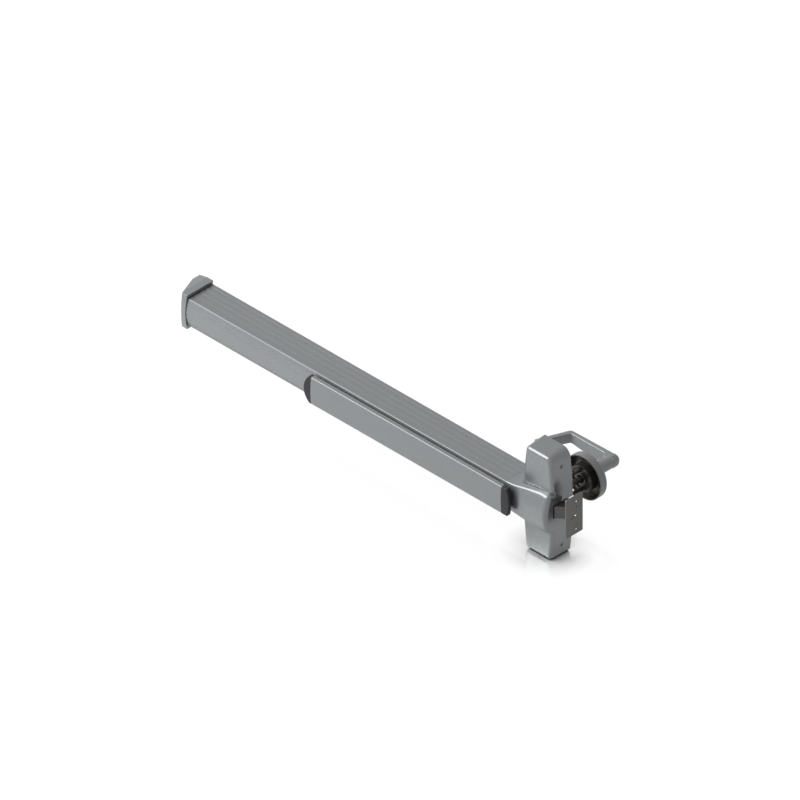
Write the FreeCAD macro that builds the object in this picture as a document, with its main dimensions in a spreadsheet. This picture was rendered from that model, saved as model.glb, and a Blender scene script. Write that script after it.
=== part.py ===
import FreeCAD, Part
import math
import os

import Sketcher
from FreeCAD import Placement, Rotation, Vector

# Touch-bar rim exit device, in millimetres.
# X runs along the bar towards the latch, Y points out through the door and Z is up.
# The origin is the centre of the chassis screw pattern, on the door's inner face, at latch height.
# A distance called "depth" is measured from the door face into the room, towards -Y.

os.makedirs("parts", exist_ok=True)
doc = FreeCAD.newDocument("ExitDevice")
sheet = doc.addObject("Spreadsheet::Sheet", "Sizes")

DRIVING_SIZES = {
    # Rail, an extrusion with an open front
    "rail_height": 58.0,
    "rail_depth": 62.5,
    "rail_drop": 5.0,
    "rail_length": 787.9,
    "rail_wall": 2.2,
    "rail_back": 3.0,
    "rail_corner": 2.5,
    "rail_heel": 1.5,
    "lip_height": 6.7,
    "lip_lean": 2.4,
    "front_bow": 5.6,
    "groove_first": 10.5,
    "groove_pitch": 12.8,
    "groove_width": 5.0,
    "groove_sink": 0.7,
    "trough_start": 47.5,
    "trough_sink": 0.3,
    "bead_width": 5.5,
    # Front filler of the rail
    "filler_stop": 7.0,
    "filler_wall": 1.8,
    "filler_leg": 10.0,
    "filler_gap": 0.3,
    "flute_first": 6.0,
    "flute_pitch": 6.5,
    "flute_width": 1.6,
    "flute_sink": 0.4,
    # Push pad
    "pad_length": 469.0,
    "pad_right": 59.0,
    "pad_front": 80.4,
    "pad_bow": 1.5,
    "pad_wall": 2.2,
    "pad_corner": 3.0,
    "flange_depth": 8.8,
    "web_depth": 73.8,
    "neck_gap": 1.0,
    "neck_depth": 54.0,
    "neck_inset": 13.0,
    "pad_travel": 8.0,
    "cap_straight": 5.0,
    "cap_round": 13.0,
    "cap_block": 12.5,
    "cap_swell": 7.5,
    "cap_wall": 3.0,
    "cap_plug": 9.0,
    "cap_edge": 2.4,
    "fit_gap": 0.3,
    # Bell cranks, actuator rod and their pins
    "crank_inset": 80.0,
    "short_arm": 16.0,
    "long_arm": 36.0,
    "pivot_depth": 48.0,
    "arm_thick": 6.0,
    "arm_width": 11.0,
    "hub_radius": 7.0,
    "hub_height": 17.8,
    "pivot_radius": 3.0,
    "pin_gap": 0.05,
    "pin_radius": 2.5,
    "slot_gap": 0.3,
    "lug_thick": 2.0,
    "lug_width": 18.0,
    "bracket_base": 2.5,
    "carrier_width": 11.0,
    "carrier_thick": 2.0,
    "rod_depth": 12.0,
    "rod_width": 12.0,
    "rod_thick": 4.0,
    "guide_width": 14.0,
    "rod_spring_radius": 3.6,
    "rod_spring_wire": 1.0,
    "rod_spring_length": 64.0,
    "guide_left_place": 75.0,
    "guide_right_place": 55.0,
    # Head chassis
    "plate_thick": 3.0,
    "plate_side_gap": 1.4,
    "plate_end_gap": 10.0,
    "plate_corner": 16.0,
    "tab_reach": 62.0,
    "tab_half_height": 15.0,
    "screw_spacing_x": 36.0,
    "screw_spacing_z": 150.0,
    "screw_hole": 3.2,
    "lug_drop": 26.0,
    "lug_half_width": 8.0,
    "lug_reach": 38.0,
    "lug_sheet": 2.5,
    "cover_screw_depth": 23.3,
    "screw_shank": 1.9,
    "screw_head": 3.4,
    "screw_head_length": 1.8,
    "cover_screw_length": 10.0,
    "tongue_clear": 28.0,
    "tongue_half_height": 12.0,
    "tongue_thick": 2.2,
    # Head cover, a thin casting
    "head_half_width": 38.0,
    "head_end_half_width": 30.0,
    "head_left_extra": 2.8,
    "head_half_height": 110.0,
    "head_depth": 48.0,
    "head_draft": 0.7,
    "head_wide_corner": 18.0,
    "head_tight_corner": 4.0,
    "head_soft_corner": 12.0,
    "head_corner": 8.6,
    "head_edge": 8.0,
    "bulge_edge": 9.0,
    "cover_wall": 2.5,
    "cover_gap": 0.3,
    "seam": 66.0,
    "opening_half_height": 13.9,
    "opening_depth": 48.6,
    # Latch
    "latch_throw": 19.0,
    "latch_inside": 26.0,
    "latch_half_height": 12.4,
    "latch_front": 46.0,
    "latch_back": 27.4,
    "latch_tip": 32.2,
    "guide_wall": 2.0,
    "guide_right": 33.0,
    "guide_left": 24.0,
    "stem_radius": 4.0,
    "stem_reach": 48.0,
    "stem_depth": 37.0,
    "collar_radius": 8.0,
    "collar_thick": 4.0,
    "fork_thick": 3.0,
    "latch_spring_radius": 6.2,
    "latch_spring_wire": 1.2,
    # Rim strike on the frame
    "strike_reach": 68.0,
    "strike_height": 82.0,
    "strike_drop": 1.5,
    "strike_front": 47.4,
    "strike_width": 41.6,
    "strike_thick": 2.5,
    "keeper_thick": 5.0,
    "keeper_reach": 24.0,
    "keeper_half_height": 20.0,
    "strike_slot": 17.0,
    "strike_slot_width": 5.0,
    "strike_hole": 2.6,
    "strike_slot_place": 27.9,
    "strike_slot_sink": 12.0,
    "strike_hole_rise": 29.8,
    "strike_hole_drop": 4.2,
    "strike_hole_place": 21.0,
    "strike_dimple": 1.8,
    "strike_dimple_rise": 20.0,
    "strike_dimple_sink": 0.8,
    # Outside trim
    "door_gap": 63.7,
    "rose_radius": 44.5,
    "rose_depth": 17.0,
    "rose_wall": 2.0,
    "rose_edge": 4.0,
    "drum_radius": 26.8,
    "drum_front": 5.0,
    "drum_flange": 30.0,
    "drum_bore": 8.3,
    "drum_pocket": 22.0,
    "hub_ring_radius": 11.4,
    "post_rise": 22.25,
    "post_radius": 4.2,
    "post_end": 40.0,
    "bolt_radius": 2.4,
    "bolt_head_radius": 4.5,
    "bolt_head_thick": 3.0,
    "spindle_half": 4.0,
    "spindle_end": 9.0,
    "sleeve_radius": 8.0,
    "cam_radius": 11.0,
    "cam_thick": 4.0,
    # Lever
    "neck_radius": 12.3,
    "lever_outer": 149.0,
    "lever_inner": 132.0,
    "lever_corner": 106.5,
    "lever_tip": 131.5,
    "lever_end_gap": 9.0,
    "lever_taper": 6.5,
    "lever_leg": 9.5,
    "lever_top": 11.8,
    "lever_bottom": 12.0,
    "lever_lift": 6.0,
    "lever_elbow": 9.5,
    "lever_bend": 9.0,
    "lever_edge": 6.2,
    "lever_inner_edge": 2.4,
    "sleeve_length": 13.0,
    # End bracket and end cap
    "end_overlap": 6.0,
    "end_length": 33.0,
    "end_front_length": 12.4,
    "end_flat": 18.6,
    "end_depth": 65.0,
    "end_proud": 7.0,
    "end_wall": 3.6,
    "end_rim": 2.5,
    "end_rail_gap": 0.8,
    "end_bow": 4.5,
    "end_chamfer_length": 18.4,
    "end_chamfer_drop": 3.9,
    "end_screw_rise": 18.0,
    "end_screw_depth": 11.0,
    "end_hole_rise": 15.0,
    "end_hole_radius": 2.8,
    "end_screw_head": 4.2,
}


class Size:
    """A length that knows its value and the sheet formula that gives it."""

    def __init__(self, value, formula):
        self.value = float(value)
        self.formula = formula

    def _joined(self, other, sign, value):
        return Size(value, f"({self.formula} {sign} {other.formula})")

    def __add__(self, other):
        other = as_size(other)
        return self._joined(other, "+", self.value + other.value)

    def __radd__(self, other):
        return as_size(other) + self

    def __sub__(self, other):
        other = as_size(other)
        return self._joined(other, "-", self.value - other.value)

    def __rsub__(self, other):
        return as_size(other) - self

    def __mul__(self, other):
        other = as_size(other)
        return self._joined(other, "*", self.value * other.value)

    def __rmul__(self, other):
        return as_size(other) * self

    def __truediv__(self, other):
        other = as_size(other)
        return self._joined(other, "/", self.value / other.value)

    def __neg__(self):
        return self * -1.0

    def __float__(self):
        return self.value


def as_size(number):
    """Any number as a Size."""
    if isinstance(number, Size):
        return number
    return Size(number, repr(float(number)))


class Sizes:
    """The driving sizes by name, each tied to its cell."""


s = Sizes()
for row, (alias, number) in enumerate(DRIVING_SIZES.items(), start=1):
    sheet.set(f"A{row}", alias.replace("_", " "))
    sheet.set(f"B{row}", str(number))
    sheet.setAlias(f"B{row}", alias)
    setattr(s, alias, Size(number, f"Sizes.{alias}"))
doc.recompute()

SUB_PARTS = []


def bind(item, prop, size):
    """Set a property, tied to the sheet where the size comes from it."""
    size = as_size(size)
    item.setExpression(prop, size.formula)


def keep(item):
    """Note a finished sub-part, whose label names its file."""
    item.Label = item.Name
    SUB_PARTS.append(item)
    return item


# Sketches, pads and pockets

def new_body(name):
    return doc.addObject("PartDesign::Body", name)


def sketch_on(body, plane, start):
    """A sketch on one of the body's own planes, moved along its normal by start."""
    sketch = body.newObject("Sketcher::SketchObject", f"{body.Name}_sketch")
    origin_plane = next(item for item in body.Origin.OriginFeatures if item.Role == f"{plane}_Plane")
    sketch.AttachmentSupport = [(origin_plane, "")]
    sketch.MapMode = "FlatFace"
    bind(sketch, "AttachmentOffset.Base.z", start)
    return sketch


def located(rules, item, end, across, up):
    """Add the rules that hold one point of a sketch at its coordinates."""
    for kind, axis, coordinate in (("DistanceX", -2, across), ("DistanceY", -1, up)):
        size = as_size(coordinate)
        if abs(size.value) < 1e-9:
            rules.append((Sketcher.Constraint("PointOnObject", item, end, axis), None))
        else:
            rules.append((Sketcher.Constraint(kind, -1, 1, item, end, size.value), size.formula))


def apply_rules(sketch, rules):
    numbers = sketch.addConstraint([rule for rule, _ in rules])
    for number, (_, formula) in zip(numbers, rules):
        if formula:
            sketch.setExpression(f"Constraints[{number}]", formula)


def flat(across, up):
    return Vector(float(across), float(up), 0)


def draw_circle(sketch, across, up, radius):
    number = sketch.addGeometry(Part.Circle(flat(across, up), Vector(0, 0, 1), float(radius)), False)
    rules = []
    located(rules, number, 3, across, up)
    rules.append((Sketcher.Constraint("Radius", number, float(radius)), as_size(radius).formula))
    apply_rules(sketch, rules)


def rounding_points(before, corner, after, radius):
    """Where a corner's arc starts and ends, and its centre."""
    towards_before = (before - corner).normalize()
    towards_after = (after - corner).normalize()
    half_angle = towards_before.getAngle(towards_after) / 2
    run = radius / math.tan(half_angle)
    middle = (towards_before + towards_after).normalize()
    centre = corner + middle * (radius / math.sin(half_angle))
    return corner + towards_before * run, corner + towards_after * run, centre


def arc_between(first, last, centre):
    """An arc of less than half a turn; the flag says whether it runs from first to last."""
    radius = (first - centre).Length
    start = math.atan2(first.y - centre.y, first.x - centre.x)
    end = math.atan2(last.y - centre.y, last.x - centre.x)
    circle = Part.Circle(centre, Vector(0, 0, 1), radius)
    sweep = (end - start) % (2 * math.pi)
    if sweep < math.pi:
        return Part.ArcOfCircle(circle, start, start + sweep), True
    return Part.ArcOfCircle(circle, end, end + 2 * math.pi - sweep), False


def bow_centre(first, last, radius, side):
    """Centre of an arc between two points; side is +1 with the centre on the left."""
    chord = last - first
    middle = (first + last) * 0.5
    left = Vector(-chord.y, chord.x, 0).normalize()
    return middle + left * (side * math.sqrt(radius ** 2 - (chord.Length / 2) ** 2))


def draw_outline(sketch, corners, bows=None):
    """A closed outline. A corner is (across, up) or (across, up, rounding radius).

    bows gives, by corner number, the radius and side of an arc that leaves that corner.
    """
    bows = bows or {}
    count = len(corners)
    points = [flat(corner[0], corner[1]) for corner in corners]
    starts = list(points)
    ends = list(points)
    roundings = {}
    for index, corner in enumerate(corners):
        if len(corner) == 3:
            radius = float(corner[2])
            first, last, centre = rounding_points(
                points[index - 1], points[index], points[(index + 1) % count], radius)
            ends[index] = first
            starts[index] = last
            roundings[index] = (first, last, centre)
    rules = []
    sides = []
    for index in range(count):
        following = (index + 1) % count
        if index in bows:
            radius, side = bows[index]
            centre = bow_centre(points[index], points[following], float(radius), side)
            arc, forward = arc_between(points[index], points[following], centre)
            number = sketch.addGeometry(arc, False)
            rules.append((Sketcher.Constraint("Radius", number, float(radius)), as_size(radius).formula))
            sides.append((number, 1, 2) if forward else (number, 2, 1))
        else:
            number = sketch.addGeometry(Part.LineSegment(starts[index], ends[following]), False)
            sides.append((number, 1, 2))
    for index, corner in enumerate(corners):
        arriving, _, arriving_end = sides[index - 1]
        leaving, leaving_start, _ = sides[index]
        if index not in roundings:
            rules.append((Sketcher.Constraint("Coincident", arriving, arriving_end, leaving, leaving_start), None))
            located(rules, leaving, leaving_start, corner[0], corner[1])
            continue
        first, last, centre = roundings[index]
        arc, forward = arc_between(first, last, centre)
        rounding = sketch.addGeometry(arc, False)
        begin, finish = (1, 2) if forward else (2, 1)
        rules.append((Sketcher.Constraint("Tangent", arriving, arriving_end, rounding, begin), None))
        rules.append((Sketcher.Constraint("Tangent", rounding, finish, leaving, leaving_start), None))
        rules.append((Sketcher.Constraint("Radius", rounding, float(corner[2])), as_size(corner[2]).formula))
        mark = sketch.addGeometry(Part.Point(points[index]), True)
        located(rules, mark, 1, corner[0], corner[1])
        rules.append((Sketcher.Constraint("PointOnObject", mark, 1, arriving), None))
        rules.append((Sketcher.Constraint("PointOnObject", mark, 1, leaving), None))
    apply_rules(sketch, rules)


def add_feature(body, kind, sketch, length):
    feature = body.newObject(kind, f"{body.Name}_{kind.split('::')[1].lower()}")
    feature.Profile = sketch
    bind(feature, "Length", length)
    body.Tip = feature
    return feature


def pad(body, plane, corners, start, length, bows=None):
    """Pad an outline from start, along the plane's normal."""
    sketch = sketch_on(body, plane, start)
    draw_outline(sketch, corners, bows)
    return add_feature(body, "PartDesign::Pad", sketch, length)


def pad_circle(body, plane, across, up, radius, start, length):
    sketch = sketch_on(body, plane, start)
    draw_circle(sketch, across, up, radius)
    return add_feature(body, "PartDesign::Pad", sketch, length)


def cut(body, sketch, length):
    """Pocket along the plane's normal; it has to take material away."""
    doc.recompute()
    before = body.Shape.Volume
    pocket = add_feature(body, "PartDesign::Pocket", sketch, length)
    pocket.Reversed = True
    doc.recompute()
    if not body.Shape.Volume < before - 1e-3:
        raise RuntimeError(f"{body.Name}: a pocket cuts nothing")
    return pocket


def pocket(body, plane, corners, start, length, bows=None):
    sketch = sketch_on(body, plane, start)
    draw_outline(sketch, corners, bows)
    return cut(body, sketch, length)


def pocket_circles(body, plane, circles, start, length):
    """Pocket round holes, each given as (across, up, radius)."""
    sketch = sketch_on(body, plane, start)
    for across, up, radius in circles:
        draw_circle(sketch, across, up, radius)
    return cut(body, sketch, length)


def rectangle(left, right, low, high, radius=None):
    corners = [(left, low), (right, low), (right, high), (left, high)]
    if radius is None:
        return corners
    return [corner + (radius,) for corner in corners]


def slot_outline(first, last, level, half_width):
    """A straight slot along the sketch's first axis, rounded at both ends."""
    corners = rectangle(first, last, level - half_width, level + half_width)
    bows = {1: (half_width * 1.0001, 1), 3: (half_width * 1.0001, 1)}
    return corners, bows


def edges_near(shape, points):
    """Names of the edges that pass closest to the points."""
    names = []
    for point in points:
        mark = Part.Vertex(point)
        distances = [edge.distToShape(mark)[0] for edge in shape.Edges]
        name = f"Edge{distances.index(min(distances)) + 1}"
        if name not in names:
            names.append(name)
    return names


def dress(body, kind, size_name, size, points):
    """Fillet or chamfer the body's edges nearest to the points."""
    doc.recompute()
    base = body.Tip
    feature = body.newObject(kind, f"{body.Name}_{kind.split('::')[1].lower()}")
    feature.Base = (base, edges_near(base.Shape, points))
    bind(feature, size_name, size)
    body.Tip = feature
    doc.recompute()
    return feature


def fillet(body, radius, points):
    return dress(body, "PartDesign::Fillet", "Radius", radius, points)


def shape_feature(name, shape):
    """A sub-part whose form is worked out here with curves and lofts."""
    feature = doc.addObject("Part::Feature", name)
    feature.Shape = shape
    return keep(feature)


# Shared places

RAIL_TOP = s.rail_height / 2 - s.rail_drop
RAIL_BOTTOM = -s.rail_height / 2 - s.rail_drop
RAIL_MIDDLE = -s.rail_drop
RAIL_RIGHT = -(s.seam + s.cover_gap)
RAIL_LEFT = RAIL_RIGHT - s.rail_length
LIP_FRONT = s.rail_depth + s.lip_lean
MOUTH_HALF = s.rail_height / 2 - s.lip_height
PAD_LEFT = -(s.pad_right + s.pad_length)
PAD_MIDDLE = -(s.pad_right + s.pad_length / 2)
CRANK_PLACES = {"left": PAD_LEFT + s.crank_inset - s.short_arm / 2,
                "right": -(s.pad_right + s.crank_inset) - s.short_arm / 2}
PAD_PIN_DEPTH = s.pivot_depth + s.pad_travel / 2
ROD_SHIFT = s.long_arm * s.pad_travel / s.short_arm / 2
ROD_LOW = RAIL_MIDDLE + s.arm_thick / 2 + 2 * s.fit_gap
ROD_HIGH = ROD_LOW + s.rod_thick
CRANK_REST_ANGLE = -math.degrees(math.atan(float(s.pad_travel) / 2 / float(s.short_arm)))


def bow_radius(chord, rise):
    """Radius of the arc with this chord and rise."""
    return (chord * chord / 4 + rise * rise) / (2 * rise)


def below_crown(radius, offset):
    """How far an arc has fallen back at a distance from its crown."""
    return radius - math.sqrt(radius ** 2 - offset ** 2)


FRONT_RADIUS = bow_radius(s.rail_height, s.front_bow)
END_LIP = -RAIL_LEFT - s.end_overlap
END_LEFT = END_LIP + s.end_length


# Rail and its filler

def rail_edge(level, sign):
    """Corners along the top (sign 1) or underside (sign -1), from the door to the front."""
    sunk = level - sign * s.groove_sink
    trough = level - sign * s.trough_sink
    corners = [(0, level, s.rail_heel)]
    for number in range(3):
        middle = s.groove_first + number * s.groove_pitch
        corners += [(-(middle - s.groove_width / 2), level), (-middle, sunk), (-(middle + s.groove_width / 2), level)]
    bead = s.rail_depth - s.bead_width
    corners += [(-s.trough_start, level), (-(s.trough_start + 1.0), trough), (-bead, trough), (-(bead + 1.0), level)]
    corners += [(-s.rail_depth, level, s.rail_corner), (-LIP_FRONT, level - sign * s.lip_height)]
    return corners


def make_rail():
    body = new_body("rail")
    top = rail_edge(RAIL_TOP, 1)
    bottom = rail_edge(RAIL_BOTTOM, -1)
    inner_top = [(-(LIP_FRONT - s.rail_wall), RAIL_TOP - s.lip_height),
                 (-(s.rail_depth - s.rail_wall), RAIL_TOP - s.rail_wall),
                 (-s.rail_back, RAIL_TOP - s.rail_wall)]
    inner_bottom = [(-s.rail_back, RAIL_BOTTOM + s.rail_wall),
                    (-(s.rail_depth - s.rail_wall), RAIL_BOTTOM + s.rail_wall),
                    (-(LIP_FRONT - s.rail_wall), RAIL_BOTTOM + s.lip_height)]
    pad(body, "YZ", top + inner_top + inner_bottom + bottom[::-1], RAIL_LEFT, s.rail_length)
    keep(body)


def make_rail_filler():
    body = new_body("rail_filler")
    half = MOUTH_HALF - s.filler_gap
    high = RAIL_MIDDLE + half
    low = RAIL_MIDDLE - half
    rise = s.front_bow - s.lip_lean
    outer_radius = bow_radius(2 * half, rise)
    inner_half = half - s.filler_wall
    inner_radius = bow_radius(2 * inner_half, rise)
    leg_end = LIP_FRONT - s.filler_leg
    inner_front = LIP_FRONT - s.filler_wall
    corners = [(-LIP_FRONT, high), (-LIP_FRONT, low), (-leg_end, low), (-leg_end, low + s.filler_wall),
               (-inner_front, low + s.filler_wall), (-inner_front, high - s.filler_wall),
               (-leg_end, high - s.filler_wall), (-leg_end, high)]
    start = -(END_LIP + 2.0)
    length = PAD_LEFT - s.filler_stop - start
    pad(body, "YZ", corners, start, length, bows={0: (outer_radius, 1), 4: (inner_radius, -1)})
    for number in range(2):
        level = half - s.flute_first - number * s.flute_pitch
        surface = s.rail_depth + s.front_bow - below_crown(FRONT_RADIUS.value, level.value)
        middle = RAIL_MIDDLE + level
        pocket(body, "YZ", rectangle(-(surface + 2.0), -(surface - s.flute_sink),
                                     middle - s.flute_width / 2, middle + s.flute_width / 2),
               start, length)
    keep(body)


# Push pad

def make_push_pad():
    body = new_body("push_pad")
    half = s.rail_height / 2
    high = RAIL_MIDDLE + half
    low = RAIL_MIDDLE - half
    front = s.pad_front
    flange_end = s.pad_front - s.flange_depth
    inner_half = half - s.pad_wall
    inner_front = front - s.pad_wall
    shell = [(-front, high), (-front, low), (-flange_end, low), (-flange_end, low + s.pad_wall),
             (-inner_front, low + s.pad_wall), (-inner_front, high - s.pad_wall),
             (-flange_end, high - s.pad_wall), (-flange_end, high)]
    pad(body, "YZ", shell, PAD_LEFT, s.pad_length,
        bows={0: (bow_radius(2 * half, s.pad_bow), 1), 4: (bow_radius(2 * inner_half, s.pad_bow), -1)})
    neck = MOUTH_HALF - s.neck_gap
    inside = neck - s.pad_wall
    web_front = s.web_depth + s.pad_wall
    for sign in (1, -1):
        wall = [(-web_front, RAIL_MIDDLE + sign * inner_half), (-web_front, RAIL_MIDDLE + sign * inside),
                (-s.neck_depth, RAIL_MIDDLE + sign * inside), (-s.neck_depth, RAIL_MIDDLE + sign * neck),
                (-s.web_depth, RAIL_MIDDLE + sign * neck), (-s.web_depth, RAIL_MIDDLE + sign * inner_half)]
        pad(body, "YZ", wall, PAD_LEFT + s.neck_inset, s.pad_length - 2 * s.neck_inset)
    middle = PAD_MIDDLE.value
    fillet(body, s.pad_corner, [Vector(middle, -front.value, high.value), Vector(middle, -front.value, low.value)])
    keep(body)


def cap_outline(joint, straight, swell, outset):
    """A block from the joint, whose far side is bowed by the swell; both are signed along X."""
    half = s.rail_height.value / 2 + outset
    middle = RAIL_MIDDLE.value
    far = joint + straight
    if swell > 0:
        tip = Vector(far + swell + outset, 0, middle)
    else:
        tip = Vector(far + swell - outset, 0, middle)
    a = Vector(joint, 0, middle - half)
    b = Vector(far, 0, middle - half)
    c = Vector(far, 0, middle + half)
    d = Vector(joint, 0, middle + half)
    edges = [Part.LineSegment(a, b).toShape(), Part.Arc(b, tip, c).toShape(),
             Part.LineSegment(c, d).toShape(), Part.LineSegment(d, a).toShape()]
    return Part.Wire(edges)


def cap_outline_left(outset=0.0):
    """Outline of the left cap, in the XZ plane: a short block with a bowed left side."""
    return cap_outline(PAD_LEFT.value, -s.cap_straight.value, -s.cap_round.value, outset)


def cap_outline_right(outset=0.0):
    """Outline of the right cap: a block with a swelled right side, in the XZ plane."""
    return cap_outline(-s.pad_right.value, s.cap_block.value, s.cap_swell.value, outset)


def depth_prism(wire, near, far):
    """A prism from an XZ outline, between two depths."""
    solid = Part.Face(wire).extrude(Vector(0, -(float(far) - float(near)), 0))
    solid.translate(Vector(0, -float(near), 0))
    return solid


def bowed_block(depth, half, rise, left, right, back):
    """A block whose front is bowed by rise, between two X values and from back to its front."""
    middle = RAIL_MIDDLE.value
    top = Vector(left, -depth, middle + half)
    bottom = Vector(left, -depth, middle - half)
    front = Vector(left, -(depth + rise), middle)
    edges = [Part.Arc(top, front, bottom).toShape(),
             Part.LineSegment(bottom, Vector(left, -back, bottom.z)).toShape(),
             Part.LineSegment(Vector(left, -back, bottom.z), Vector(left, -back, top.z)).toShape(),
             Part.LineSegment(Vector(left, -back, top.z), top).toShape()]
    return Part.Face(Part.Wire(edges)).extrude(Vector(right - left, 0, 0))


def pad_end_cap(name, outline, inside, plug_from, plug_to):
    """A moulded cap that closes one end of the push pad."""
    half = s.rail_height.value / 2
    flange_end = s.pad_front.value - s.flange_depth.value
    reach = max(abs(plug_from), abs(plug_to)) + 60.0
    far = s.pad_front.value + s.pad_bow.value + 5.0
    body = depth_prism(outline(), flange_end, far)
    body = body.common(bowed_block(s.pad_front.value, half, s.pad_bow.value, -reach, 0.0, 0.0))
    joined = PAD_LEFT.value if name.endswith("left") else -s.pad_right.value
    rim = [edge for edge in body.Edges
           if all(point.y < 0.01 - s.pad_front.value for point in edge.discretize(5))
           and not all(abs(point.x - joined) < 0.01 for point in edge.discretize(5))]
    body = body.makeFillet(s.cap_edge.value, rim)
    hollow = depth_prism(inside(), flange_end - 1.0, s.pad_front.value - s.cap_wall.value)
    body = body.cut(hollow)
    travel = s.pad_travel.value + s.fit_gap.value
    path = bowed_block(s.rail_depth.value + travel, half, s.front_bow.value, -reach, 0.0, 0.0)
    body = body.cut(path)
    plug_half = half - s.pad_wall.value - s.fit_gap.value
    plug_front = s.pad_front.value - s.pad_wall.value - s.pin_gap.value
    plug_back = s.rail_depth.value + s.front_bow.value + travel + s.fit_gap.value
    plug = Part.makeBox(abs(plug_to - plug_from), plug_front - plug_back, 2 * plug_half,
                        Vector(min(plug_from, plug_to), -plug_front, RAIL_MIDDLE.value - plug_half))
    return body.fuse(plug).removeSplitter()


def make_pad_end_caps():
    wall = -s.cap_wall.value
    left = PAD_LEFT.value
    right = -s.pad_right.value
    shape = pad_end_cap("pad_end_cap_left", cap_outline_left, lambda: cap_outline_left(wall),
                        left - 1.0, left + s.cap_plug.value)
    shape_feature("pad_end_cap_left", shape)
    shape = pad_end_cap("pad_end_cap_right", cap_outline_right, lambda: cap_outline_right(wall),
                        right + 1.0, right - s.cap_plug.value)
    shape_feature("pad_end_cap_right", shape)


# Bell cranks, their brackets and the actuator rod

def make_pad_carrier(side):
    """Bracket inside the push pad that holds the pin for one crank."""
    body = new_body(f"pad_carrier_{side}")
    pin_x = CRANK_PLACES[side] + s.short_arm
    base_front = s.pad_front + s.pad_bow / 2 - s.pad_wall - s.fit_gap
    base_back = base_front - s.carrier_thick
    base_half = MOUTH_HALF - s.neck_gap - s.pad_wall - s.fit_gap
    arm_end = PAD_PIN_DEPTH - s.carrier_width / 2
    inner = s.arm_thick / 2 + 2 * s.fit_gap
    outer = inner + s.carrier_thick
    outline = [(-base_front, RAIL_MIDDLE - base_half), (-base_back, RAIL_MIDDLE - base_half),
               (-base_back, RAIL_MIDDLE - outer), (-arm_end, RAIL_MIDDLE - outer),
               (-arm_end, RAIL_MIDDLE - inner), (-base_back, RAIL_MIDDLE - inner),
               (-base_back, RAIL_MIDDLE + inner), (-arm_end, RAIL_MIDDLE + inner),
               (-arm_end, RAIL_MIDDLE + outer), (-base_back, RAIL_MIDDLE + outer),
               (-base_back, RAIL_MIDDLE + base_half), (-base_front, RAIL_MIDDLE + base_half)]
    pad(body, "YZ", outline, pin_x - s.carrier_width / 2, s.carrier_width)
    pocket_circles(body, "XY", [(pin_x, -PAD_PIN_DEPTH, s.pin_radius + s.pin_gap)], RAIL_MIDDLE - outer - 1.0, 2 * outer + 2.0)
    keep(body)
    pin = new_body(f"pad_pin_{side}")
    pad_circle(pin, "XY", pin_x, -PAD_PIN_DEPTH, s.pin_radius, RAIL_MIDDLE - outer - 0.8, 2 * outer + 1.6)
    keep(pin)


def make_crank_bracket(side):
    """Folded bracket on the rail's back wall that carries one crank."""
    body = new_body(f"crank_bracket_{side}")
    middle = CRANK_PLACES[side]
    inner = s.hub_height / 2 + s.fit_gap
    outer = inner + s.lug_thick
    base_half = outer + 5.0
    base_front = s.rail_back + s.bracket_base
    lug_end = s.pivot_depth + s.lug_width / 2 - 2.0
    outline = [(-s.rail_back, RAIL_MIDDLE - base_half), (-s.rail_back, RAIL_MIDDLE + base_half),
               (-base_front, RAIL_MIDDLE + base_half), (-base_front, RAIL_MIDDLE + outer),
               (-lug_end, RAIL_MIDDLE + outer), (-lug_end, RAIL_MIDDLE + inner),
               (-base_front, RAIL_MIDDLE + inner), (-base_front, RAIL_MIDDLE - inner),
               (-lug_end, RAIL_MIDDLE - inner), (-lug_end, RAIL_MIDDLE - outer),
               (-base_front, RAIL_MIDDLE - outer), (-base_front, RAIL_MIDDLE - base_half)]
    pad(body, "YZ", outline, middle - s.lug_width / 2, s.lug_width)
    pocket_circles(body, "XY", [(middle, -s.pivot_depth, s.pivot_radius + s.pin_gap)],
                   RAIL_MIDDLE - outer - 1.0, 2 * outer + 2.0)
    ends = [Vector(middle.value + sign * s.lug_width.value / 2, -lug_end.value, RAIL_MIDDLE.value + level * inner.value)
            for sign in (1, -1) for level in (1.1, -1.1)]
    fillet(body, s.lug_width / 2 - 2.5, ends)
    keep(body)
    pin = new_body(f"crank_pivot_{side}")
    pad_circle(pin, "XY", middle, -s.pivot_depth, s.pivot_radius, RAIL_MIDDLE - outer, 2 * outer)
    pad_circle(pin, "XY", middle, -s.pivot_depth, s.pivot_radius + 1.6, RAIL_MIDDLE + outer, 1.6)
    keep(pin)


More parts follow.
